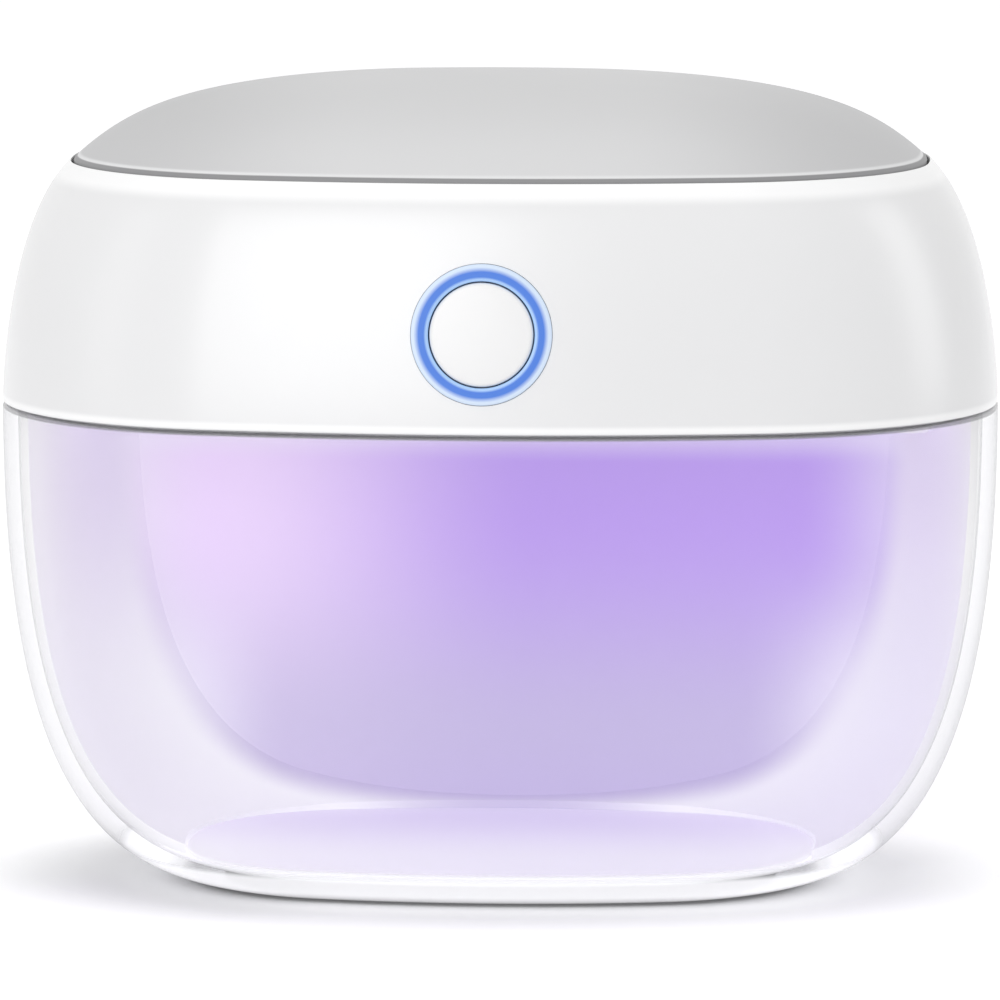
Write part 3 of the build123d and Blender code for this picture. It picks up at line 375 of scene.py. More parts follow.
# Painted shade: a grey band and a dark line where the bowl meets the table, and a dark line just under the
# seam.
painted_contact_shade = clear.between(z, 1.4 * MM, 0.6 * MM) * 0.35 + clear.between(z, 0.6 * MM, 0.2 * MM) * 0.5
painted_seam_shade = clear.between(z, (BOWL_RIM_Z - 0.45) * MM, (BOWL_RIM_Z - 0.25) * MM)
see_through = clear.node("BsdfTransparent", sockets={"Color": CLEAR_TINT})
gloss = clear.node("BsdfPrincipled", sockets={
    "Base Color": GLOSS_WHITE, "Roughness": 0.08, "IOR": 1.5,
    "Emission Color": clear.blend(in_foot, (0.0, 0.0, 0.0), FOOT_PAINTED_GLOW), "Emission Strength": FOOT_PAINTED_LIGHT,
})
# The painted shade is darkest under the seam and at the very bottom.
painted_shade_edges = clear.larger(painted_seam_shade, clear.between(z, 0.9 * MM, 0.4 * MM))
line_grey = clear.blend(painted_shade_edges, LINE_GREY, PAINTED_SHADOW_GREY)
line = clear.node("BsdfPrincipled", sockets={"Base Color": line_grey, "Roughness": 0.2})
glossy_part = 0.03 + facing ** 4.0 * 0.5 + in_foot * 0.72
wall = clear.node("MixShader", sockets={0: glossy_part, 1: see_through, 2: gloss})
turned_off = clear.node("Math", {"operation": "MULTIPLY", "use_clamp": True}, {0: facing ** 14.0, 1: 1.2})
line_part = clear.larger(turned_off, clear.larger(painted_contact_shade, painted_seam_shade * 0.68))
clear_wall = clear.surface(clear.node("MixShader", sockets={0: line_part, 1: wall, 2: line}))
dress(bowl, clear_wall, "base", "clear_bowl", "clear_bowl")


# ---- White liner ----------------------------------------------------------------------------------
# A thin white plastic lining clips into the bowl: a flat back wall, a wing down each side, a shelf for
# the hinge with two screw bosses, and a boss for a magnet at each side. The lamps' violet light on it
# is painted into its colour and glow, strongest high on the back wall to the right of the middle, with
# painted lighter and darker zones on the wings and low corners.
LINER_INSET = BOWL_WALL + 0.2
LINER_WALL = 0.8
LINER_TOP_Z = BOWL_RIM_Z - 0.8
BACK_WALL_Y = 22.8
WING_FRONT_Y = -5.0
SHELF_Z = BOWL_RIM_Z - 2.5
SHELF_THICK = 1.8
SHELF_BOSS_RADIUS = 2.6
SHELF_BOSS_FOOT = 40.7
BRACKET_SCREW = (7.5, 27.4)
BRACKET_BORE = 1.0
MAGNET = (42.6, 14.0)
MAGNET_BORE = 2.55
MAGNET_SEAT_Z = 47.35
MAGNET_BOSS = 3.25
MAGNET_BOSS_TIP = 2.0
MAGNET_BOSS_TAPER = 1.2
MAGNET_BOSS_FOOT = 46.55
MAGNET_RIB_HALF = 1.6
FLOOR_HALF = 33.0
FLOOR_TOP = 3.2
FLOOR_PLAY = 0.2
FAR = 80.0               # beyond everything, for the tools that cut
LINER_AROUND = 216


def curve_at(curve, z):
    """Parameter at which a rising curve reaches this height."""
    low, high = 0.0, 1.0
    for _ in range(40):
        middle = (low + high) / 2
        if bezier(curve, middle)[1] < z:
            low = middle
        else:
            high = middle
    return low


def bowl_filling(name, inset, floor_z, top_z):
    """Closed body of the bowl's inside, drawn in by the inset, up to this height."""
    curve = bowl_curve(inset, floor_z)
    wall = side(curve, inset, last=curve_at(curve, top_z), steps=36)
    return oval_skin(name, [(0, 0, floor_z), *wall, (0, 0, top_z)], around=LINER_AROUND)


chamber = bowl_filling("chamber", LINER_INSET + LINER_WALL, BOWL_FLOOR + LINER_WALL, LINER_TOP_Z + 0.7)
magnet_bosses = []
for s in (-1, 1):
    x, y = s * MAGNET[0], MAGNET[1]
    foot = Vector((x, y, MAGNET_BOSS_FOOT))
    magnet_bosses += [
        rod(MAGNET_BOSS, foot, (x, y, FAR)),
        rod(MAGNET_BOSS_TIP, foot - Vector((0, 0, MAGNET_BOSS_TAPER)), foot, tip=MAGNET_BOSS),
        block(
            (min(x, 2 * x), y - MAGNET_RIB_HALF, MAGNET_BOSS_FOOT),
            (max(x, 2 * x), y + MAGNET_RIB_HALF, FAR),
        ),
    ]
combine(chamber, [block((-FAR, BACK_WALL_Y, 0), (FAR, FAR, FAR)), *magnet_bosses])

liner = bowl_filling("liner", LINER_INSET, BOWL_FLOOR, LINER_TOP_Z)
wall_back = BACK_WALL_Y + LINER_WALL
combine(liner, [
    chamber,
    block((-FAR, -FAR, 0), (FAR, WING_FRONT_Y, FAR)),
    block((-FAR, wall_back, 0), (FAR, FAR, SHELF_Z - SHELF_THICK)),
    block((-FAR, wall_back, SHELF_Z), (FAR, FAR, FAR)),
])
shelf_bosses, bores = [], []
for s in (-1, 1):
    x, y = s * BRACKET_SCREW[0], BRACKET_SCREW[1]
    shelf_bosses.append(rod(SHELF_BOSS_RADIUS, (x, y, SHELF_BOSS_FOOT), (x, y, SHELF_Z - 0.5)))
    bores.append(rod(BRACKET_BORE, (x, y, SHELF_BOSS_FOOT + 1), (x, y, SHELF_Z + 1)))
    x, y = s * MAGNET[0], MAGNET[1]
    bores.append(rod(MAGNET_BORE, (x, y, MAGNET_SEAT_Z), (x, y, FAR)))
combine(liner, shelf_bosses, "UNION")
hole_top = FLOOR_TOP + 1
floor_hole = [(0, 0, 0), (FLOOR_HALF, -FLOOR_PLAY, 0), (FLOOR_HALF, -FLOOR_PLAY, hole_top), (0, 0, hole_top)]
combine(liner, [*bores, oval_skin("floor_hole", floor_hole, around=LINER_AROUND)])

# Painted light: the liner is white plastic, and these colours paint the lamps' violet light onto it.
PALE_LILAC = (0.85, 0.82, 0.90)
ROSE_LILAC = (0.84, 0.67, 0.95)
VIOLET = (0.49, 0.31, 0.84)
LOW_PAINTED_VIOLET = (0.51, 0.46, 0.66)
TOP_PAINTED_LIGHT = (0.88, 0.84, 0.96)
# Painted light and shade for the wings and the back wall's lower corners.
CORNER_PAINTED_LIGHT = (0.90, 0.88, 0.94)
WING_BACK, WING_FRONT = (0.80, 0.74, 0.88), (0.90, 0.90, 0.88)
WING_FOOT, WING_PAINTED_SHADE_RIGHT = (0.92, 0.915, 0.93), (0.76, 0.73, 0.84)
CHAMBER_LIGHT = 0.34
PAINTED_GLOW_ACROSS = [(0.04, PALE_LILAC), (0.20, ROSE_LILAC), (0.53, VIOLET), (0.79, VIOLET), (0.97, PALE_LILAC)]

lining = Finish("liner_white")
x, y, z = lining.place()
# Painted violet light across the back wall, dimmer lower down and paler in a strip under the seam.
across = lining.node("ValToRGB", {"blend_between": "EASE", "stops": PAINTED_GLOW_ACROSS}, {
    0: lining.between(x, -HALF_WIDTH * MM, HALF_WIDTH * MM, smooth=False),
})
painted_back_wall_light = lining.blend(lining.between(z, 36.0 * MM, 10.0 * MM) * 0.88, across, LOW_PAINTED_VIOLET)
painted_back_wall_light = lining.blend(lining.between(z, 40.5 * MM, 43.5 * MM) * 0.5, painted_back_wall_light, TOP_PAINTED_LIGHT)
low_down = lining.between(z, 32.0 * MM, 12.0 * MM)
# Painted light: the back wall's lower corners are paler.
painted_light_low_corners = lining.between(lining.unsigned(x), 24.0 * MM, 42.0 * MM) * low_down
painted_back_wall_light = lining.blend(painted_light_low_corners, painted_back_wall_light, CORNER_PAINTED_LIGHT)
# The wings' tones are painted light, greyer lilac at the back and paler towards the front and foot.
wing = lining.blend(lining.between(y, 20.5 * MM, 2.0 * MM), WING_BACK, WING_FRONT)
wing = lining.blend(lining.between(z, 40.0 * MM, 14.0 * MM), wing, WING_FOOT)
# Painted shade on the lower right wing.
painted_shade_low_right = lining.between(x, 0.0, 45.0 * MM) * lining.between(z, 36.0 * MM, 20.0 * MM)
wing = lining.blend(painted_shade_low_right * 0.5, wing, WING_PAINTED_SHADE_RIGHT)
lit = lining.blend(lining.between(y, (BACK_WALL_Y + 0.2) * MM, (BACK_WALL_Y - 2.8) * MM), painted_back_wall_light, wing)
# The painted violet light goes into both the base colour and the glow.
liner_white = lining.plain(
    base_color=lining.blend(0.2, lit, (0.0, 0.0, 0.0)),
    roughness=0.35 + lining.noise(60.0, 3.0) * 0.1,
    emission_color=lit,
    emission_strength=CHAMBER_LIGHT,
    normal=lining.bump(lining.noise(500.0), 0.03, 0.05 * MM),
)
dress(liner, liner_white, "base", "liner_white", "chamber_liner")


# ---- Floor plate ----------------------------------------------------------------------------------
# A raised oval of white plastic stands on the bowl's flat floor and drops through the liner's foot.
# Its brim is thin and rounded over, so it shows as one fine grey line, and its top is slightly dished.
# The lamps' violet light on it is painted into its colour and glow, deeper towards the back.
BRIM_Z = FLOOR_TOP - 0.6
NECK_INSET = 1.65
PLATE_DISH = 0.15
plate_brim = [(FLOOR_HALF, inset, z) for inset, z in (
    (0.12, BRIM_Z), (0.0, BRIM_Z + 0.12), (0.0, FLOOR_TOP - 0.3), (0.06, FLOOR_TOP - 0.14),
    (0.2, FLOOR_TOP - 0.04), (0.45, FLOOR_TOP), (4.0, FLOOR_TOP - 0.06), (10.0, FLOOR_TOP - 0.13),
    (18.0, FLOOR_TOP - PLATE_DISH),
)]
floor_insert = oval_skin("floor_insert", [
    (0, 0, BOWL_FLOOR), (FOOT_HALF, NECK_INSET, BOWL_FLOOR), (FOOT_HALF, NECK_INSET, BRIM_Z),
    *plate_brim, (0, 0, FLOOR_TOP - PLATE_DISH),
])

plate = Finish("floor_white")
# Painted violet light on the plate: deeper at the back, paler at the front, in both colour and glow.
FLOOR_BACK_PAINTED_GLOW, FLOOR_FRONT_PAINTED_GLOW = (0.76, 0.70, 0.88), (0.94, 0.93, 0.96)
y = plate.place()[1]
lit = plate.blend(plate.between(y, 18.0 * MM, -10.0 * MM), FLOOR_BACK_PAINTED_GLOW, FLOOR_FRONT_PAINTED_GLOW)
floor_white = plate.plain(
    base_color=plate.blend(0.2, lit, (0.0, 0.0, 0.0)),
    roughness=0.3 + plate.noise(80.0) * 0.1,
    emission_color=lit,
    emission_strength=CHAMBER_LIGHT,
    normal=plate.bump(plate.noise(500.0), 0.03, 0.05 * MM),
)
dress(floor_insert, floor_white, "base", "liner_white", "floor_plate")


# ---- Head -----------------------------------------------------------------------------------------
# The head is the lid's white shell, moulded in glossy plastic. Its foot and its shoulder are rounded
# over, a lip under it finds the bowl's rim, the charging port opens in its back, and two knuckles on
# ribs turn on the hinge pin. The button's bore stands square to the leaning front face.
HEAD_FOOT_Z = SEAM_Z + 0.1
HEAD_UPRIGHT = 3.0
HEAD_WALL = 2.0
RIM_HALF = 44.7
RIM_Z = 75.6
SHOULDER_REACH = 8.5
SHOULDER_TILT = radians(42)
POCKET_Z = RIM_Z - 1.75
LEDGE_FOOT_Z = POCKET_Z - 1.5
LEDGE_WIDTH = 4.5
LIP_INSET, BAND_INSET = 1.9, 3.1
LIP_Z = BOWL_RIM_Z - 0.5
SEAL_OUT, SEAL_IN, SEAL_DEEP = 0.95, 1.65, 0.5
PLATE_TOP_Z = 52.8
BUTTON_Z = 60.6
RING_RADIUS = 7.1
RING_PLAY = 0.1
KNUCKLE_RADIUS = 2.6
KNUCKLE_LENGTH = 6.0
KNUCKLE_RIB = 8.2
RIB_LEAN = radians(30)
RIB_SINK = 0.4
PIN_BORE = 1.04
PORT_Z = 69.03
PORT_WIDTH, PORT_HEIGHT = 9.64, 3.96
HEAD_EDGE_ROUND, SHOULDER_ROUND, FOOT_ROUND = 0.2, 0.5, 0.8
SEAT = 0.05              # gap left where two pieces are fixed together


def head_curve(inset=0.0, top_z=RIM_Z):
    """Side profile of the head from the seam to the cover's edge, or of a surface inside it."""
    lead = SHOULDER_REACH * cos(SHOULDER_TILT)
    return (
        (HALF_WIDTH - inset, HEAD_FOOT_Z),
        (HALF_WIDTH - inset, HEAD_FOOT_Z + HEAD_UPRIGHT),
        (RIM_HALF + lead - inset, top_z - SHOULDER_REACH * sin(SHOULDER_TILT)),
        (RIM_HALF - inset, top_z),
    )


def prism(outline, low, high):
    """Closed prism along x of an outline of depths and heights."""
    bm = bmesh.new()
    rings = [[bm.verts.new((x, *p)) for p in outline] for x in (low, high)]
    join_rings(bm, rings)
    for ring in rings:
        bm.faces.new(ring)
    return make_piece("prism", bm)


inner_curve = head_curve(HEAD_WALL, LEDGE_FOOT_Z)
inner_wall = side(inner_curve, HEAD_WALL, curve_at(inner_curve, PLATE_TOP_Z))
foot_corner, edge_corner = (HALF_WIDTH, 0, HEAD_FOOT_Z), (RIM_HALF, 0, RIM_Z)
head_profile = soften([
    (HALF_WIDTH, SEAL_OUT - SEAT, HEAD_FOOT_Z), foot_corner, *side(head_curve(), steps=56)[3:-1], edge_corner,
    (RIM_HALF, 0, POCKET_Z), (RIM_HALF, LEDGE_WIDTH, POCKET_Z), (RIM_HALF, LEDGE_WIDTH, LEDGE_FOOT_Z),
    *reversed(inner_wall),
    (HALF_WIDTH, BAND_INSET, PLATE_TOP_Z), (HALF_WIDTH, BAND_INSET, LIP_Z), (HALF_WIDTH, LIP_INSET, LIP_Z),
    (HALF_WIDTH, LIP_INSET, HEAD_FOOT_Z), (HALF_WIDTH, SEAL_IN, HEAD_FOOT_Z),
    (HALF_WIDTH, SEAL_IN, HEAD_FOOT_Z + SEAL_DEEP), (HALF_WIDTH, SEAL_OUT, HEAD_FOOT_Z + SEAL_DEEP),
    (HALF_WIDTH, SEAL_OUT, HEAD_FOOT_Z + SEAT),
], HEAD_EDGE_ROUND, {foot_corner: FOOT_ROUND, edge_corner: SHOULDER_ROUND})
head = oval_skin("head", head_profile, closed=True)

# Frame of the button: x to the right, y up the leaning face, z out of it
face_t = curve_at(head_curve(), BUTTON_Z)
below, above = bezier(head_curve(), face_t - 0.01), bezier(head_curve(), face_t + 0.01)
LEAN = atan2((below[0] - above[0]) * ASPECT, above[1] - below[1])
FACE_DEPTH = bezier(head_curve(), face_t)[0] * ASPECT
face_out = Vector((0, -cos(LEAN), sin(LEAN)))
face_up = Vector((0, sin(LEAN), cos(LEAN)))
face_at = Vector((0, -FACE_DEPTH, BUTTON_Z))
button_place = Matrix((
    (1, face_up.x, face_out.x, face_at.x), (0, face_up.y, face_out.y, face_at.y),
    (0, face_up.z, face_out.z, face_at.z), (0, 0, 0, 1),
))

wall_y = bezier(head_curve(), curve_at(head_curve(), HINGE_Z + KNUCKLE_RIB))[0] * ASPECT
rib = [
    (HINGE_Y + KNUCKLE_RADIUS * cos(RIB_LEAN), HINGE_Z + KNUCKLE_RADIUS * sin(RIB_LEAN)),
    (wall_y - RIB_SINK, HINGE_Z + KNUCKLE_RIB), (wall_y - HEAD_WALL, HINGE_Z + KNUCKLE_RIB),
    (HALF_DEPTH - HEAD_WALL, HEAD_FOOT_Z), (HINGE_Y, HEAD_FOOT_Z),
]
hinge_ribs = []
for start in (NOTCH_HALF, -HINGE_HALF):
    end = start + KNUCKLE_LENGTH
    hinge_ribs.append(prism(rib, start, end))
    hinge_ribs.append(rod(KNUCKLE_RADIUS, (start, HINGE_Y, HINGE_Z), (end, HINGE_Y, HINGE_Z)))
combine(head, hinge_ribs, "UNION")
port_half, port_round = (PORT_WIDTH - PORT_HEIGHT) / 2, PORT_HEIGHT / 2
port_in, port_out = 20.0, 40.0
combine(head, [
    rod(RING_RADIUS + RING_PLAY, face_at - face_out * 6, face_at + face_out * 4, around=160),
    rod(SWING_RADIUS, (-NOTCH_HALF, HINGE_Y, HINGE_Z), (NOTCH_HALF, HINGE_Y, HINGE_Z)),
    rod(PIN_BORE, (-HINGE_HALF - 1, HINGE_Y, HINGE_Z), (HINGE_HALF + 1, HINGE_Y, HINGE_Z)),
    *(rod(port_round, (x, port_in, PORT_Z), (x, port_out, PORT_Z)) for x in (-port_half, port_half)),
    block((-port_half, port_in, PORT_Z - port_round), (port_half, port_out, PORT_Z + port_round)),
])


def moulded(name, colour, roughness, grain=0.02, polish=0.0, shade=None):
    """Moulded plastic: the gloss wanders a little, and a faint skin of ripples breaks the reflections."""
    plastic = Finish(name)
    drift = plastic.noise(60.0, 3.0)
    mottle = plastic.blend(drift, tuple(c * 0.985 for c in colour), colour)
    return plastic.plain(
        base_color=shade(plastic, mottle) if shade else mottle,
        roughness=roughness * 0.85 + drift * (roughness * 0.3),
        normal=plastic.bump(plastic.noise(700.0), grain, 0.04 * MM),
        ior=1.5,
        coat_weight=polish,
        coat_roughness=0.25,
    )


# The head's own white, and the painted highlight along its rounded shoulder and foot.
SHELL_WHITE, EDGE_PAINTED_HIGHLIGHT = (0.78, 0.78, 0.785), (0.95, 0.95, 0.95)


def painted_edge_highlights(shell, base):
    """Painted highlight: the rounded shoulder and the rounded foot are painted whiter than the rest of the
    head.
    """
    z = shell.place()[2]
    shoulder = shell.between(z, (RIM_Z - 2.4) * MM, (RIM_Z - 1.2) * MM)
    foot = shell.between(z, (HEAD_FOOT_Z + 1.1) * MM, (HEAD_FOOT_Z + 0.5) * MM)
    return shell.blend(shell.larger(shoulder, foot) * 0.9, base, EDGE_PAINTED_HIGHLIGHT)


shell_white = moulded("shell_white", SHELL_WHITE, 0.30, polish=0.8, shade=painted_edge_highlights)
dress(head, shell_white, "lid", "shell_white", "head_shell")


# ---- Top cover ------------------------------------------------------------------------------------
# A domed cover of light grey satin plastic drops into the shoulder's groove, with a fine dark gap
# round it, deepened by painted shade. A skirt under it, with six hooks, snaps behind the head's ledge.
COVER_GAP = 0.25
COVER_WALL = 1.8
CROWN_Z = 84.5
CROWN_REACH = 32.0
DOME_REACH = 8.0
COVER_FOOT_Z = POCKET_Z + SEAT
COVER_ROUND = 0.3
SKIRT_OUT, SKIRT_IN = 4.8, 6.1
SKIRT_TOP_Z = RIM_Z + 1.2
SKIRT_FOOT_Z = LEDGE_FOOT_Z - 1.2
HOOKS = 6
HOOK_INSET = 4.1
HOOK_HALF = 4.0


def dome(inset, drop=0.0, steps=64):
    """Profile of the dome from its edge to the crown, where the inset has faded to nothing."""
    curve = (
        (RIM_HALF, RIM_Z - drop),
        (RIM_HALF - DOME_REACH * cos(SHOULDER_TILT), RIM_Z + DOME_REACH * sin(SHOULDER_TILT) - drop),
        (CROWN_REACH, CROWN_Z - drop),
        (0.0, CROWN_Z - drop),
    )
    points = [bezier(curve, i / steps) for i in range(steps + 1)]
    return [(half_x, inset * min(1, half_x / 12), z) for half_x, z in points]


cover = oval_skin("cover", soften([
    *reversed(dome(COVER_GAP + COVER_WALL, COVER_WALL)[1:]),
    (RIM_HALF, COVER_GAP + COVER_WALL, COVER_FOOT_Z), (RIM_HALF, COVER_GAP, COVER_FOOT_Z),
    *dome(COVER_GAP),
], COVER_ROUND))
skirt = [(RIM_HALF, inset, z) for inset, z in (
    (SKIRT_OUT, SKIRT_FOOT_Z), (SKIRT_OUT, SKIRT_TOP_Z), (SKIRT_IN, SKIRT_TOP_Z), (SKIRT_IN, SKIRT_FOOT_Z),
)]
hook_top, hook_root = LEDGE_FOOT_Z - SEAT, SKIRT_OUT + 0.6
hook_ring = [(RIM_HALF, inset, z) for inset, z in (
    (HOOK_INSET, SKIRT_FOOT_Z), (HOOK_INSET, hook_top), (hook_root, hook_top), (hook_root, SKIRT_FOOT_Z),
)]
hook_places = bmesh.new()
for i in range(HOOKS):
    x, y = oval_point(RIM_HALF, SKIRT_OUT, 2 * pi * i / HOOKS)
    low, high = (x - HOOK_HALF, y - HOOK_HALF, SKIRT_FOOT_Z - 1), (x + HOOK_HALF, y + HOOK_HALF, RIM_Z)
    made = bmesh.ops.create_cube(hook_places, size=1.0)["verts"]
    bmesh.ops.scale(hook_places, vec=[b - a for a, b in zip(low, high)], verts=made)
    bmesh.ops.translate(hook_places, vec=[(a + b) / 2 for a, b in zip(low, high)], verts=made)
hooks = oval_skin("hooks", hook_ring, closed=True)
combine(hooks, [make_piece("hook_places", hook_places)], "INTERSECT")
combine(cover, [oval_skin("skirt", skirt, closed=True), hooks], "UNION")

# The dome's own grey, then painted shade for its ends, a painted highlight for the lip and painted shade for
# the groove.
COVER_GREY = (0.65, 0.65, 0.655)
COVER_END_PAINTED_SHADE = (0.545, 0.545, 0.55)
LIP_PAINTED_HIGHLIGHT = (0.74, 0.74, 0.745)
GROOVE_PAINTED_SHADE = (0.26, 0.26, 0.265)


def cover_painted_light_and_shade(satin, base):
    """Painted shade darkens the dome towards its ends, a painted highlight lightens the lip, and painted
    shade darkens the foot in the groove.
    """
    x, _, z = satin.place()
    painted_shade_at_ends = satin.between(satin.unsigned(x), 12.0 * MM, 38.0 * MM)
    painted_lip_highlight = satin.between(z, (RIM_Z + 0.75) * MM, (RIM_Z + 0.5) * MM)
    painted_groove_shade = satin.between(z, (RIM_Z + 0.42) * MM, (RIM_Z + 0.3) * MM)
    painted_dome_shade = satin.blend(painted_shade_at_ends, base, COVER_END_PAINTED_SHADE)
    return satin.blend(painted_groove_shade, satin.blend(painted_lip_highlight, painted_dome_shade, LIP_PAINTED_HIGHLIGHT), GROOVE_PAINTED_SHADE)


cover_grey = moulded("cover_grey", COVER_GREY, 0.50, 0.03, shade=cover_painted_light_and_shade)
dress(cover, cover_grey, "lid", "cover_grey", "top_cover")


# ---- Light ring -----------------------------------------------------------------------------------
# A milky plastic ring fits the bore in the leaning face and runs back as a light guide to the small
# blue lamps behind it. It is palest along both its edges, and painted shade darkens it down the gap
# round the button.
RING_BORE = 5.4
FLANGE_RADIUS = 8.2
FLANGE_FRONT = -2.4
GUIDE_RADIUS, GUIDE_BACK = 6.8, -8.1
GUIDE_FLAT = 6.5
POCKET_BACK = -3.2
ring_face = [
    (RING_BORE, -0.05), (RING_BORE + 0.08, 0.06), (RING_BORE + 0.3, 0.1), (RING_BORE + 0.75, 0.04),
    (RING_RADIUS - 0.35, 0.1), (RING_RADIUS - 0.04, 0.06), (RING_RADIUS + SEAT, -0.04),
]
ring_outline = [
    (RING_BORE, -1.8), *ring_face, (RING_RADIUS + SEAT, FLANGE_FRONT), (FLANGE_RADIUS, FLANGE_FRONT),
    (FLANGE_RADIUS, GUIDE_BACK), (GUIDE_RADIUS, GUIDE_BACK),
    (GUIDE_RADIUS, POCKET_BACK), (RING_BORE, POCKET_BACK),
]


def turned_skin(name, outline, around):
    """Skin turned about the button's axis from a closed outline of radii and depths."""
    bm = bmesh.new()
    turns = [2 * pi * j / around for j in range(around)]
    rings = [[bm.verts.new((r * cos(a), r * sin(a), z)) for a in turns] for r, z in outline]
    join_rings(bm, rings + rings[:1])
    bmesh.ops.transform(bm, matrix=button_place, verts=bm.verts)
    return make_piece(name, bm)


ring = turned_skin("ring", ring_outline, 160)
guide_front = face_at + face_out * FLANGE_FRONT - face_up * GUIDE_FLAT
combine(ring, [block((-20, guide_front.y, guide_front.z - 10), (20, guide_front.y + 12, guide_front.z))])

milky = Finish("ring_blue")
x, y, z = milky.place()
rise = (z - BUTTON_Z * MM) / cos(LEAN)
radius = (x * x + rise * rise) ** 0.5
INNER_BLUE = (0.40, 0.62, 0.97)
DEEP_BLUE = (0.04, 0.19, 0.74)
OUTER_BLUE = (0.68, 0.80, 0.97)
GAP_PAINTED_SHADE = (0.01, 0.03, 0.09)
RING_LIGHT = 0.42
BAND = [(0.12, INNER_BLUE), (0.26, DEEP_BLUE), (0.56, DEEP_BLUE), (0.84, OUTER_BLUE)]
band = milky.node("ValToRGB", {"stops": BAND}, {
    0: milky.between(radius, RING_BORE * MM, RING_RADIUS * MM, smooth=False),
})
depth = y * face_out.y + (z - BUTTON_Z * MM) * face_out.z + FACE_DEPTH * MM * face_out.y
# Painted shade: the ring darkens below its face, down the gap round the button.
lit_band = milky.blend(milky.between(depth, -0.6 * MM, -0.1 * MM), GAP_PAINTED_SHADE, band)
ring_blue = milky.plain(
    base_color=milky.blend(0.5, lit_band, (0.0, 0.0, 0.0)), roughness=0.25 + milky.noise(200.0) * 0.1,
    emission_color=lit_band, emission_strength=RING_LIGHT,
)
dress(ring, ring_blue, "lid", "ring_blue", "light_ring")


# ---- Button ---------------------------------------------------------------------------------------
# The white cap has a shallow crown and a rounded edge. It slides inside the ring, a flange behind the
# ring keeps it in, and its plunger works the switch.
CAP_RADIUS = 5.26
CAP_PROUD = 0.1
CAP_CROWN = 0.35
CAP_ROUND = 0.45
CAP_FLANGE, CAP_PLUNGER = 6.2, 1.5
FLANGE_TOP, FLANGE_FOOT, PLUNGER_FOOT = -3.25, -4.05, -4.62

cap_outline = []
for i in range(13):
    reach = (CAP_RADIUS - CAP_ROUND) * i / 12
    cap_outline.append((reach, CAP_PROUD + CAP_CROWN * (1 - (reach / CAP_RADIUS) ** 2) ** 0.8))
edge_z = cap_outline[-1][1] - CAP_ROUND
for i in range(1, 6):
    turn = pi / 2 * i / 5
    cap_outline.append((CAP_RADIUS - CAP_ROUND + CAP_ROUND * sin(turn), edge_z + CAP_ROUND * cos(turn)))
cap_outline += [
    (CAP_RADIUS, FLANGE_TOP), (CAP_FLANGE, FLANGE_TOP), (CAP_FLANGE, FLANGE_FOOT),
    (CAP_PLUNGER, FLANGE_FOOT), (CAP_PLUNGER, PLUNGER_FOOT), (0.0, PLUNGER_FOOT),
]
cap = turned_skin("cap", cap_outline, 128)
dress(cap, moulded("button_white", (0.84, 0.84, 0.84), 0.35), "button", "button_white", "button_cap")


# ---- Lamp plate, hinge bracket and seal -----------------------------------------------------------
# The lamp plate closes the head from below and the hinge bracket stands on the liner's shelf: both are
# white plastic. A soft grey strip in the head's groove seals the lid to the bowl.
def coat(material, *nodes):
    """Gives pieces that stay as the CAD model made them their finished material."""
    for name in nodes:
        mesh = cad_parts[name].data
        mesh.materials.clear()
        mesh.materials.append(material)
        for polygon in mesh.polygons:
            polygon.use_smooth = True
        mesh.set_sharp_from_angle(angle=radians(30))


coat(moulded("plate_white", (0.80, 0.80, 0.81), 0.35), "lamp_plate", "hinge_bracket")
coat(moulded("tray_grey", (0.70, 0.70, 0.70), 0.45), "battery_tray", "switch_tip")

soft = Finish("seal_silicone")
seal_grey = soft.blend(soft.noise(90.0), (0.66, 0.66, 0.67), (0.70, 0.70, 0.71))
coat(soft.plain(base_color=seal_grey, roughness=0.6 + soft.noise(400.0) * 0.15), "lid_seal")


# ---- Lamps ----------------------------------------------------------------------------------------
# Four ultraviolet lamps in ceramic bodies shine down through a quartz pane, each in a cup of the
# bright reflector. Small blue lamps light the ring.
pane = Finish("quartz")
turned_away = pane.node("LayerWeight", sockets={"Blend": 0.35}, output=0)
glass = pane.node("BsdfPrincipled", sockets={"Base Color": (0.9, 0.9, 0.95, 1.0), "Roughness": 0.05})
open_glass = pane.node("BsdfTransparent", sockets={"Color": (1, 1, 1, 1)})
coat(pane.surface(pane.node("MixShader", sockets={
    0: 0.08 + turned_away * 0.6, 1: open_glass, 2: glass,
})), "lamp_window")


def lamp(name, ceramic, glow):
    """Lamp body with a faint mottle, which glows."""
    body = Finish(name)
    return body.plain(
        base_color=body.blend(body.noise(500.0), tuple(c * 0.95 for c in ceramic), ceramic),
        roughness=0.35 + body.noise(900.0) * 0.1, emission_color=glow, emission_strength=0.8,
    )


coat(lamp("lamp_violet", (0.84, 0.82, 0.75), (0.55, 0.35, 1.0)), "uv_lamps")
coat(lamp("lamp_blue", (0.84, 0.84, 0.82), (0.20, 0.40, 1.0)), "ring_lamps")


# ---- Boards, battery, magnets and screws ----------------------------------------------------------
# Lacquered circuit boards carry black chips, the switch and the steel charging port. The battery is
# wrapped in foil, the magnets are nickel plated, and the screws and the hinge pin are steel.
def metal(name, colour, roughness):
    """Metal with fine turning marks."""
    steel = Finish(name)
    marks = steel.noise(300.0, 3.0, (1, 1, 14))
    return steel.plain(
        base_color=steel.blend(marks, tuple(c * 0.9 for c in colour), colour), metallic=1.0,
        roughness=roughness * 0.8 + marks * (roughness * 0.5), normal=steel.bump(marks, 0.05, 0.03 * MM),
    )


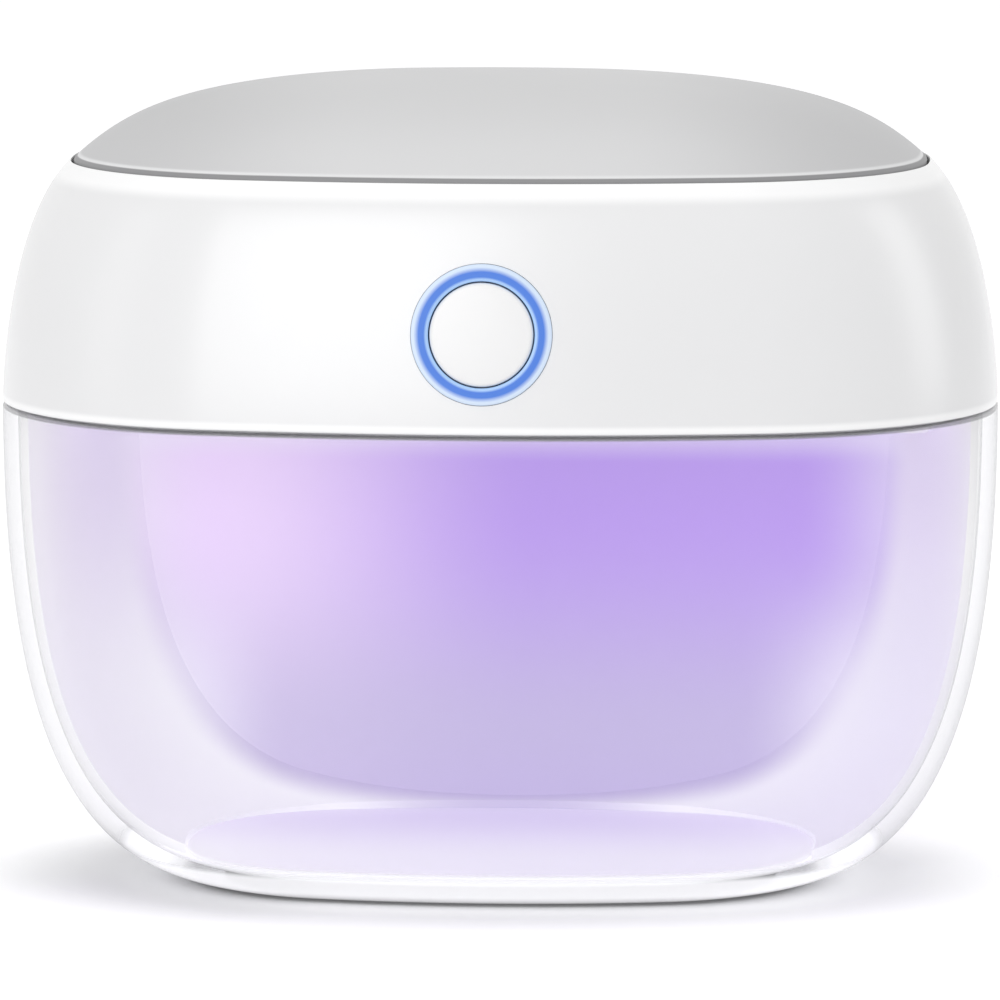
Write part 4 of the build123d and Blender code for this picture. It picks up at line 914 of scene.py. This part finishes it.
def circuit(name, colour):
    """Lacquered board: faint tracks under the lacquer."""
    board = Finish(name)
    tracks = board.between(board.noise(260.0, 0.0, (1, 0.15, 1)), 0.48, 0.56)
    return board.plain(
        base_color=board.blend(tracks, tuple(c * 0.8 for c in colour), colour), roughness=0.35 + tracks * 0.1,
        normal=board.bump(tracks, 0.2, 0.04 * MM),
    )


coat(circuit("circuit_green", (0.03, 0.20, 0.09)), "main_board", "button_board")
coat(circuit("circuit_white", (0.82, 0.82, 0.80)), "lamp_board")
coat(moulded("black_plastic", (0.03, 0.03, 0.035), 0.4), "tact_switch", "hall_sensor", "control_chips")
coat(metal("steel", (0.66, 0.66, 0.67), 0.3), "bracket_screws", "hinge_pin", "plate_screws",
     "lamp_board_screws", "board_screws", "button_board_screws", "charge_port")
coat(metal("nickel", (0.72, 0.70, 0.66), 0.2), "catch_magnets", "lid_magnets")
coat(metal("reflector", (0.85, 0.85, 0.87), 0.15), "lamp_reflector")
coat(metal("battery_foil", (0.74, 0.75, 0.76), 0.42), "battery")


# ---- Table ----------------------------------------------------------------------------------------
# A seamless matt white table. Away from the case a white glow, seen straight, in gloss or through the
# bowl, makes it as white as paper. Near the case the glow fades out, so the real shadow shows there,
# deepened by the fade; beside the left end of the foot a painted shadow darkens it further.
TABLE_WHITE = (0.86, 0.86, 0.87)
# The darker colour is a painted shadow beside the foot.
TABLE_PAINTED_SHADOW = (0.56, 0.56, 0.57)
NEAR_GLOW = (0.04, 0.04, 0.04)
FAR_GLOW = (0.38, 0.38, 0.38)
SHADOW_OVAL = 1.5        # how much wider than deep the shadow is
TABLE_HALF = 3000.0


def looked_at(nodes):
    """1 for what the camera sees, straight, in gloss or through clear plastic, and 0 for light that fills."""
    camera_ray, glossy_ray, clear_ray = (nodes.node("LightPath", output=i) for i in (0, 3, 6))
    return nodes.larger(camera_ray, nodes.larger(glossy_ray, clear_ray))


table_white = Finish("table_white")
x, y, _ = table_white.place()
reach = (x * x + y * y * SHADOW_OVAL ** 2) ** 0.5
# The white glow fades out towards the case, which deepens the shade round it.
away = table_white.between(reach, 36.0 * MM, 62.0 * MM)
# Painted shadow: the table's colour darkens beside the left end of the foot.
painted_shadow_by_foot = table_white.between(reach, 64.0 * MM, 40.0 * MM) * table_white.between(x, -12.0 * MM, -30.0 * MM)
matt = table_white.node("BsdfDiffuse", sockets={
    "Color": table_white.blend(painted_shadow_by_foot * 0.5, TABLE_WHITE, TABLE_PAINTED_SHADOW),
})
lift = table_white.node("Emission", sockets={
    "Color": table_white.blend(away, NEAR_GLOW, FAR_GLOW), "Strength": looked_at(table_white),
})
table_white.surface(table_white.node("AddShader", sockets={0: matt, 1: lift}))

top = bmesh.new()
bmesh.ops.create_grid(top, x_segments=1, y_segments=1, size=TABLE_HALF)
table = make_piece("table", top)
table.data.materials.append(table_white.data)


# ---- Light ----------------------------------------------------------------------------------------
# A plain white studio. A wide soft light stands to the left in front and draws the bright band on the
# head; weaker ones fill the ends and the top. What is seen of the room itself is white.
SKY_LEVEL = 0.71
LIGHT_AIM = Vector((0, 0, 42.0 * MM))
LIGHT_AWAY = 1.5
LIGHT_HEIGHT = 1.2

world = bpy.data.worlds.new("studio")
bpy.context.scene.world = world
world.use_nodes = True
room = Nodes(world.node_tree)
room.node("OutputWorld", sockets={"Surface": room.node("Background", sockets={
    "Color": (1, 1, 1, 1), "Strength": SKY_LEVEL + looked_at(room) * (1 - SKY_LEVEL),
})})


def softbox(name, azimuth, elevation, distance, width, height, power):
    """An oblong area light that looks at the case; azimuth 0 is in front, positive to the right."""
    light = bpy.data.lights.new(name, "AREA")
    light.shape = "RECTANGLE"
    light.size, light.size_y, light.energy = width, height, power
    stand = bpy.data.objects.new(name, light)
    az, el = radians(azimuth), radians(elevation)
    outward = Vector((sin(az) * cos(el), -cos(az) * cos(el), sin(el)))
    stand.location = outward * distance + LIGHT_AIM
    stand.rotation_euler = outward.to_track_quat("Z", "Y").to_euler()
    bpy.context.scene.collection.objects.link(stand)
    return stand


softbox("key_light", -17, 16, LIGHT_AWAY, 0.75, LIGHT_HEIGHT, 8.2)
softbox("left_light", -75, 12, LIGHT_AWAY, 0.5, LIGHT_HEIGHT, 0.8)
softbox("right_light", 100, 12, LIGHT_AWAY, 0.5, LIGHT_HEIGHT, 2.6)
softbox("top_light", 0, 80, LIGHT_AWAY, 1.2, LIGHT_HEIGHT, 1.8)


# ---- View -----------------------------------------------------------------------------------------
# The camera stands about a metre away, a little to the right, and looks slightly down at the case.
VIEW_AZIMUTH = radians(3.33)
VIEW_ELEVATION = radians(7.19)
VIEW_DISTANCE = 929.6
VIEW_PIVOT_Z = 42.0
VIEW_TARGET = (-0.08, 0.0, 39.45)
VIEW_LENS = 319.2

camera = bpy.data.objects.new("view", bpy.data.cameras.new("view"))
bpy.context.scene.collection.objects.link(camera)
camera.data.lens = VIEW_LENS
camera.data.clip_start = 0.01
level = cos(VIEW_ELEVATION)
back = Vector((sin(VIEW_AZIMUTH) * level, -cos(VIEW_AZIMUTH) * level, sin(VIEW_ELEVATION)))
camera.location = (Vector((0, 0, VIEW_PIVOT_Z)) + back * VIEW_DISTANCE) * MM
aim = camera.location - Vector(VIEW_TARGET) * MM
camera.rotation_euler = aim.to_track_quat("Z", "Y").to_euler()
bpy.context.scene.camera = camera
bpy.context.scene.view_settings.view_transform = "Standard"
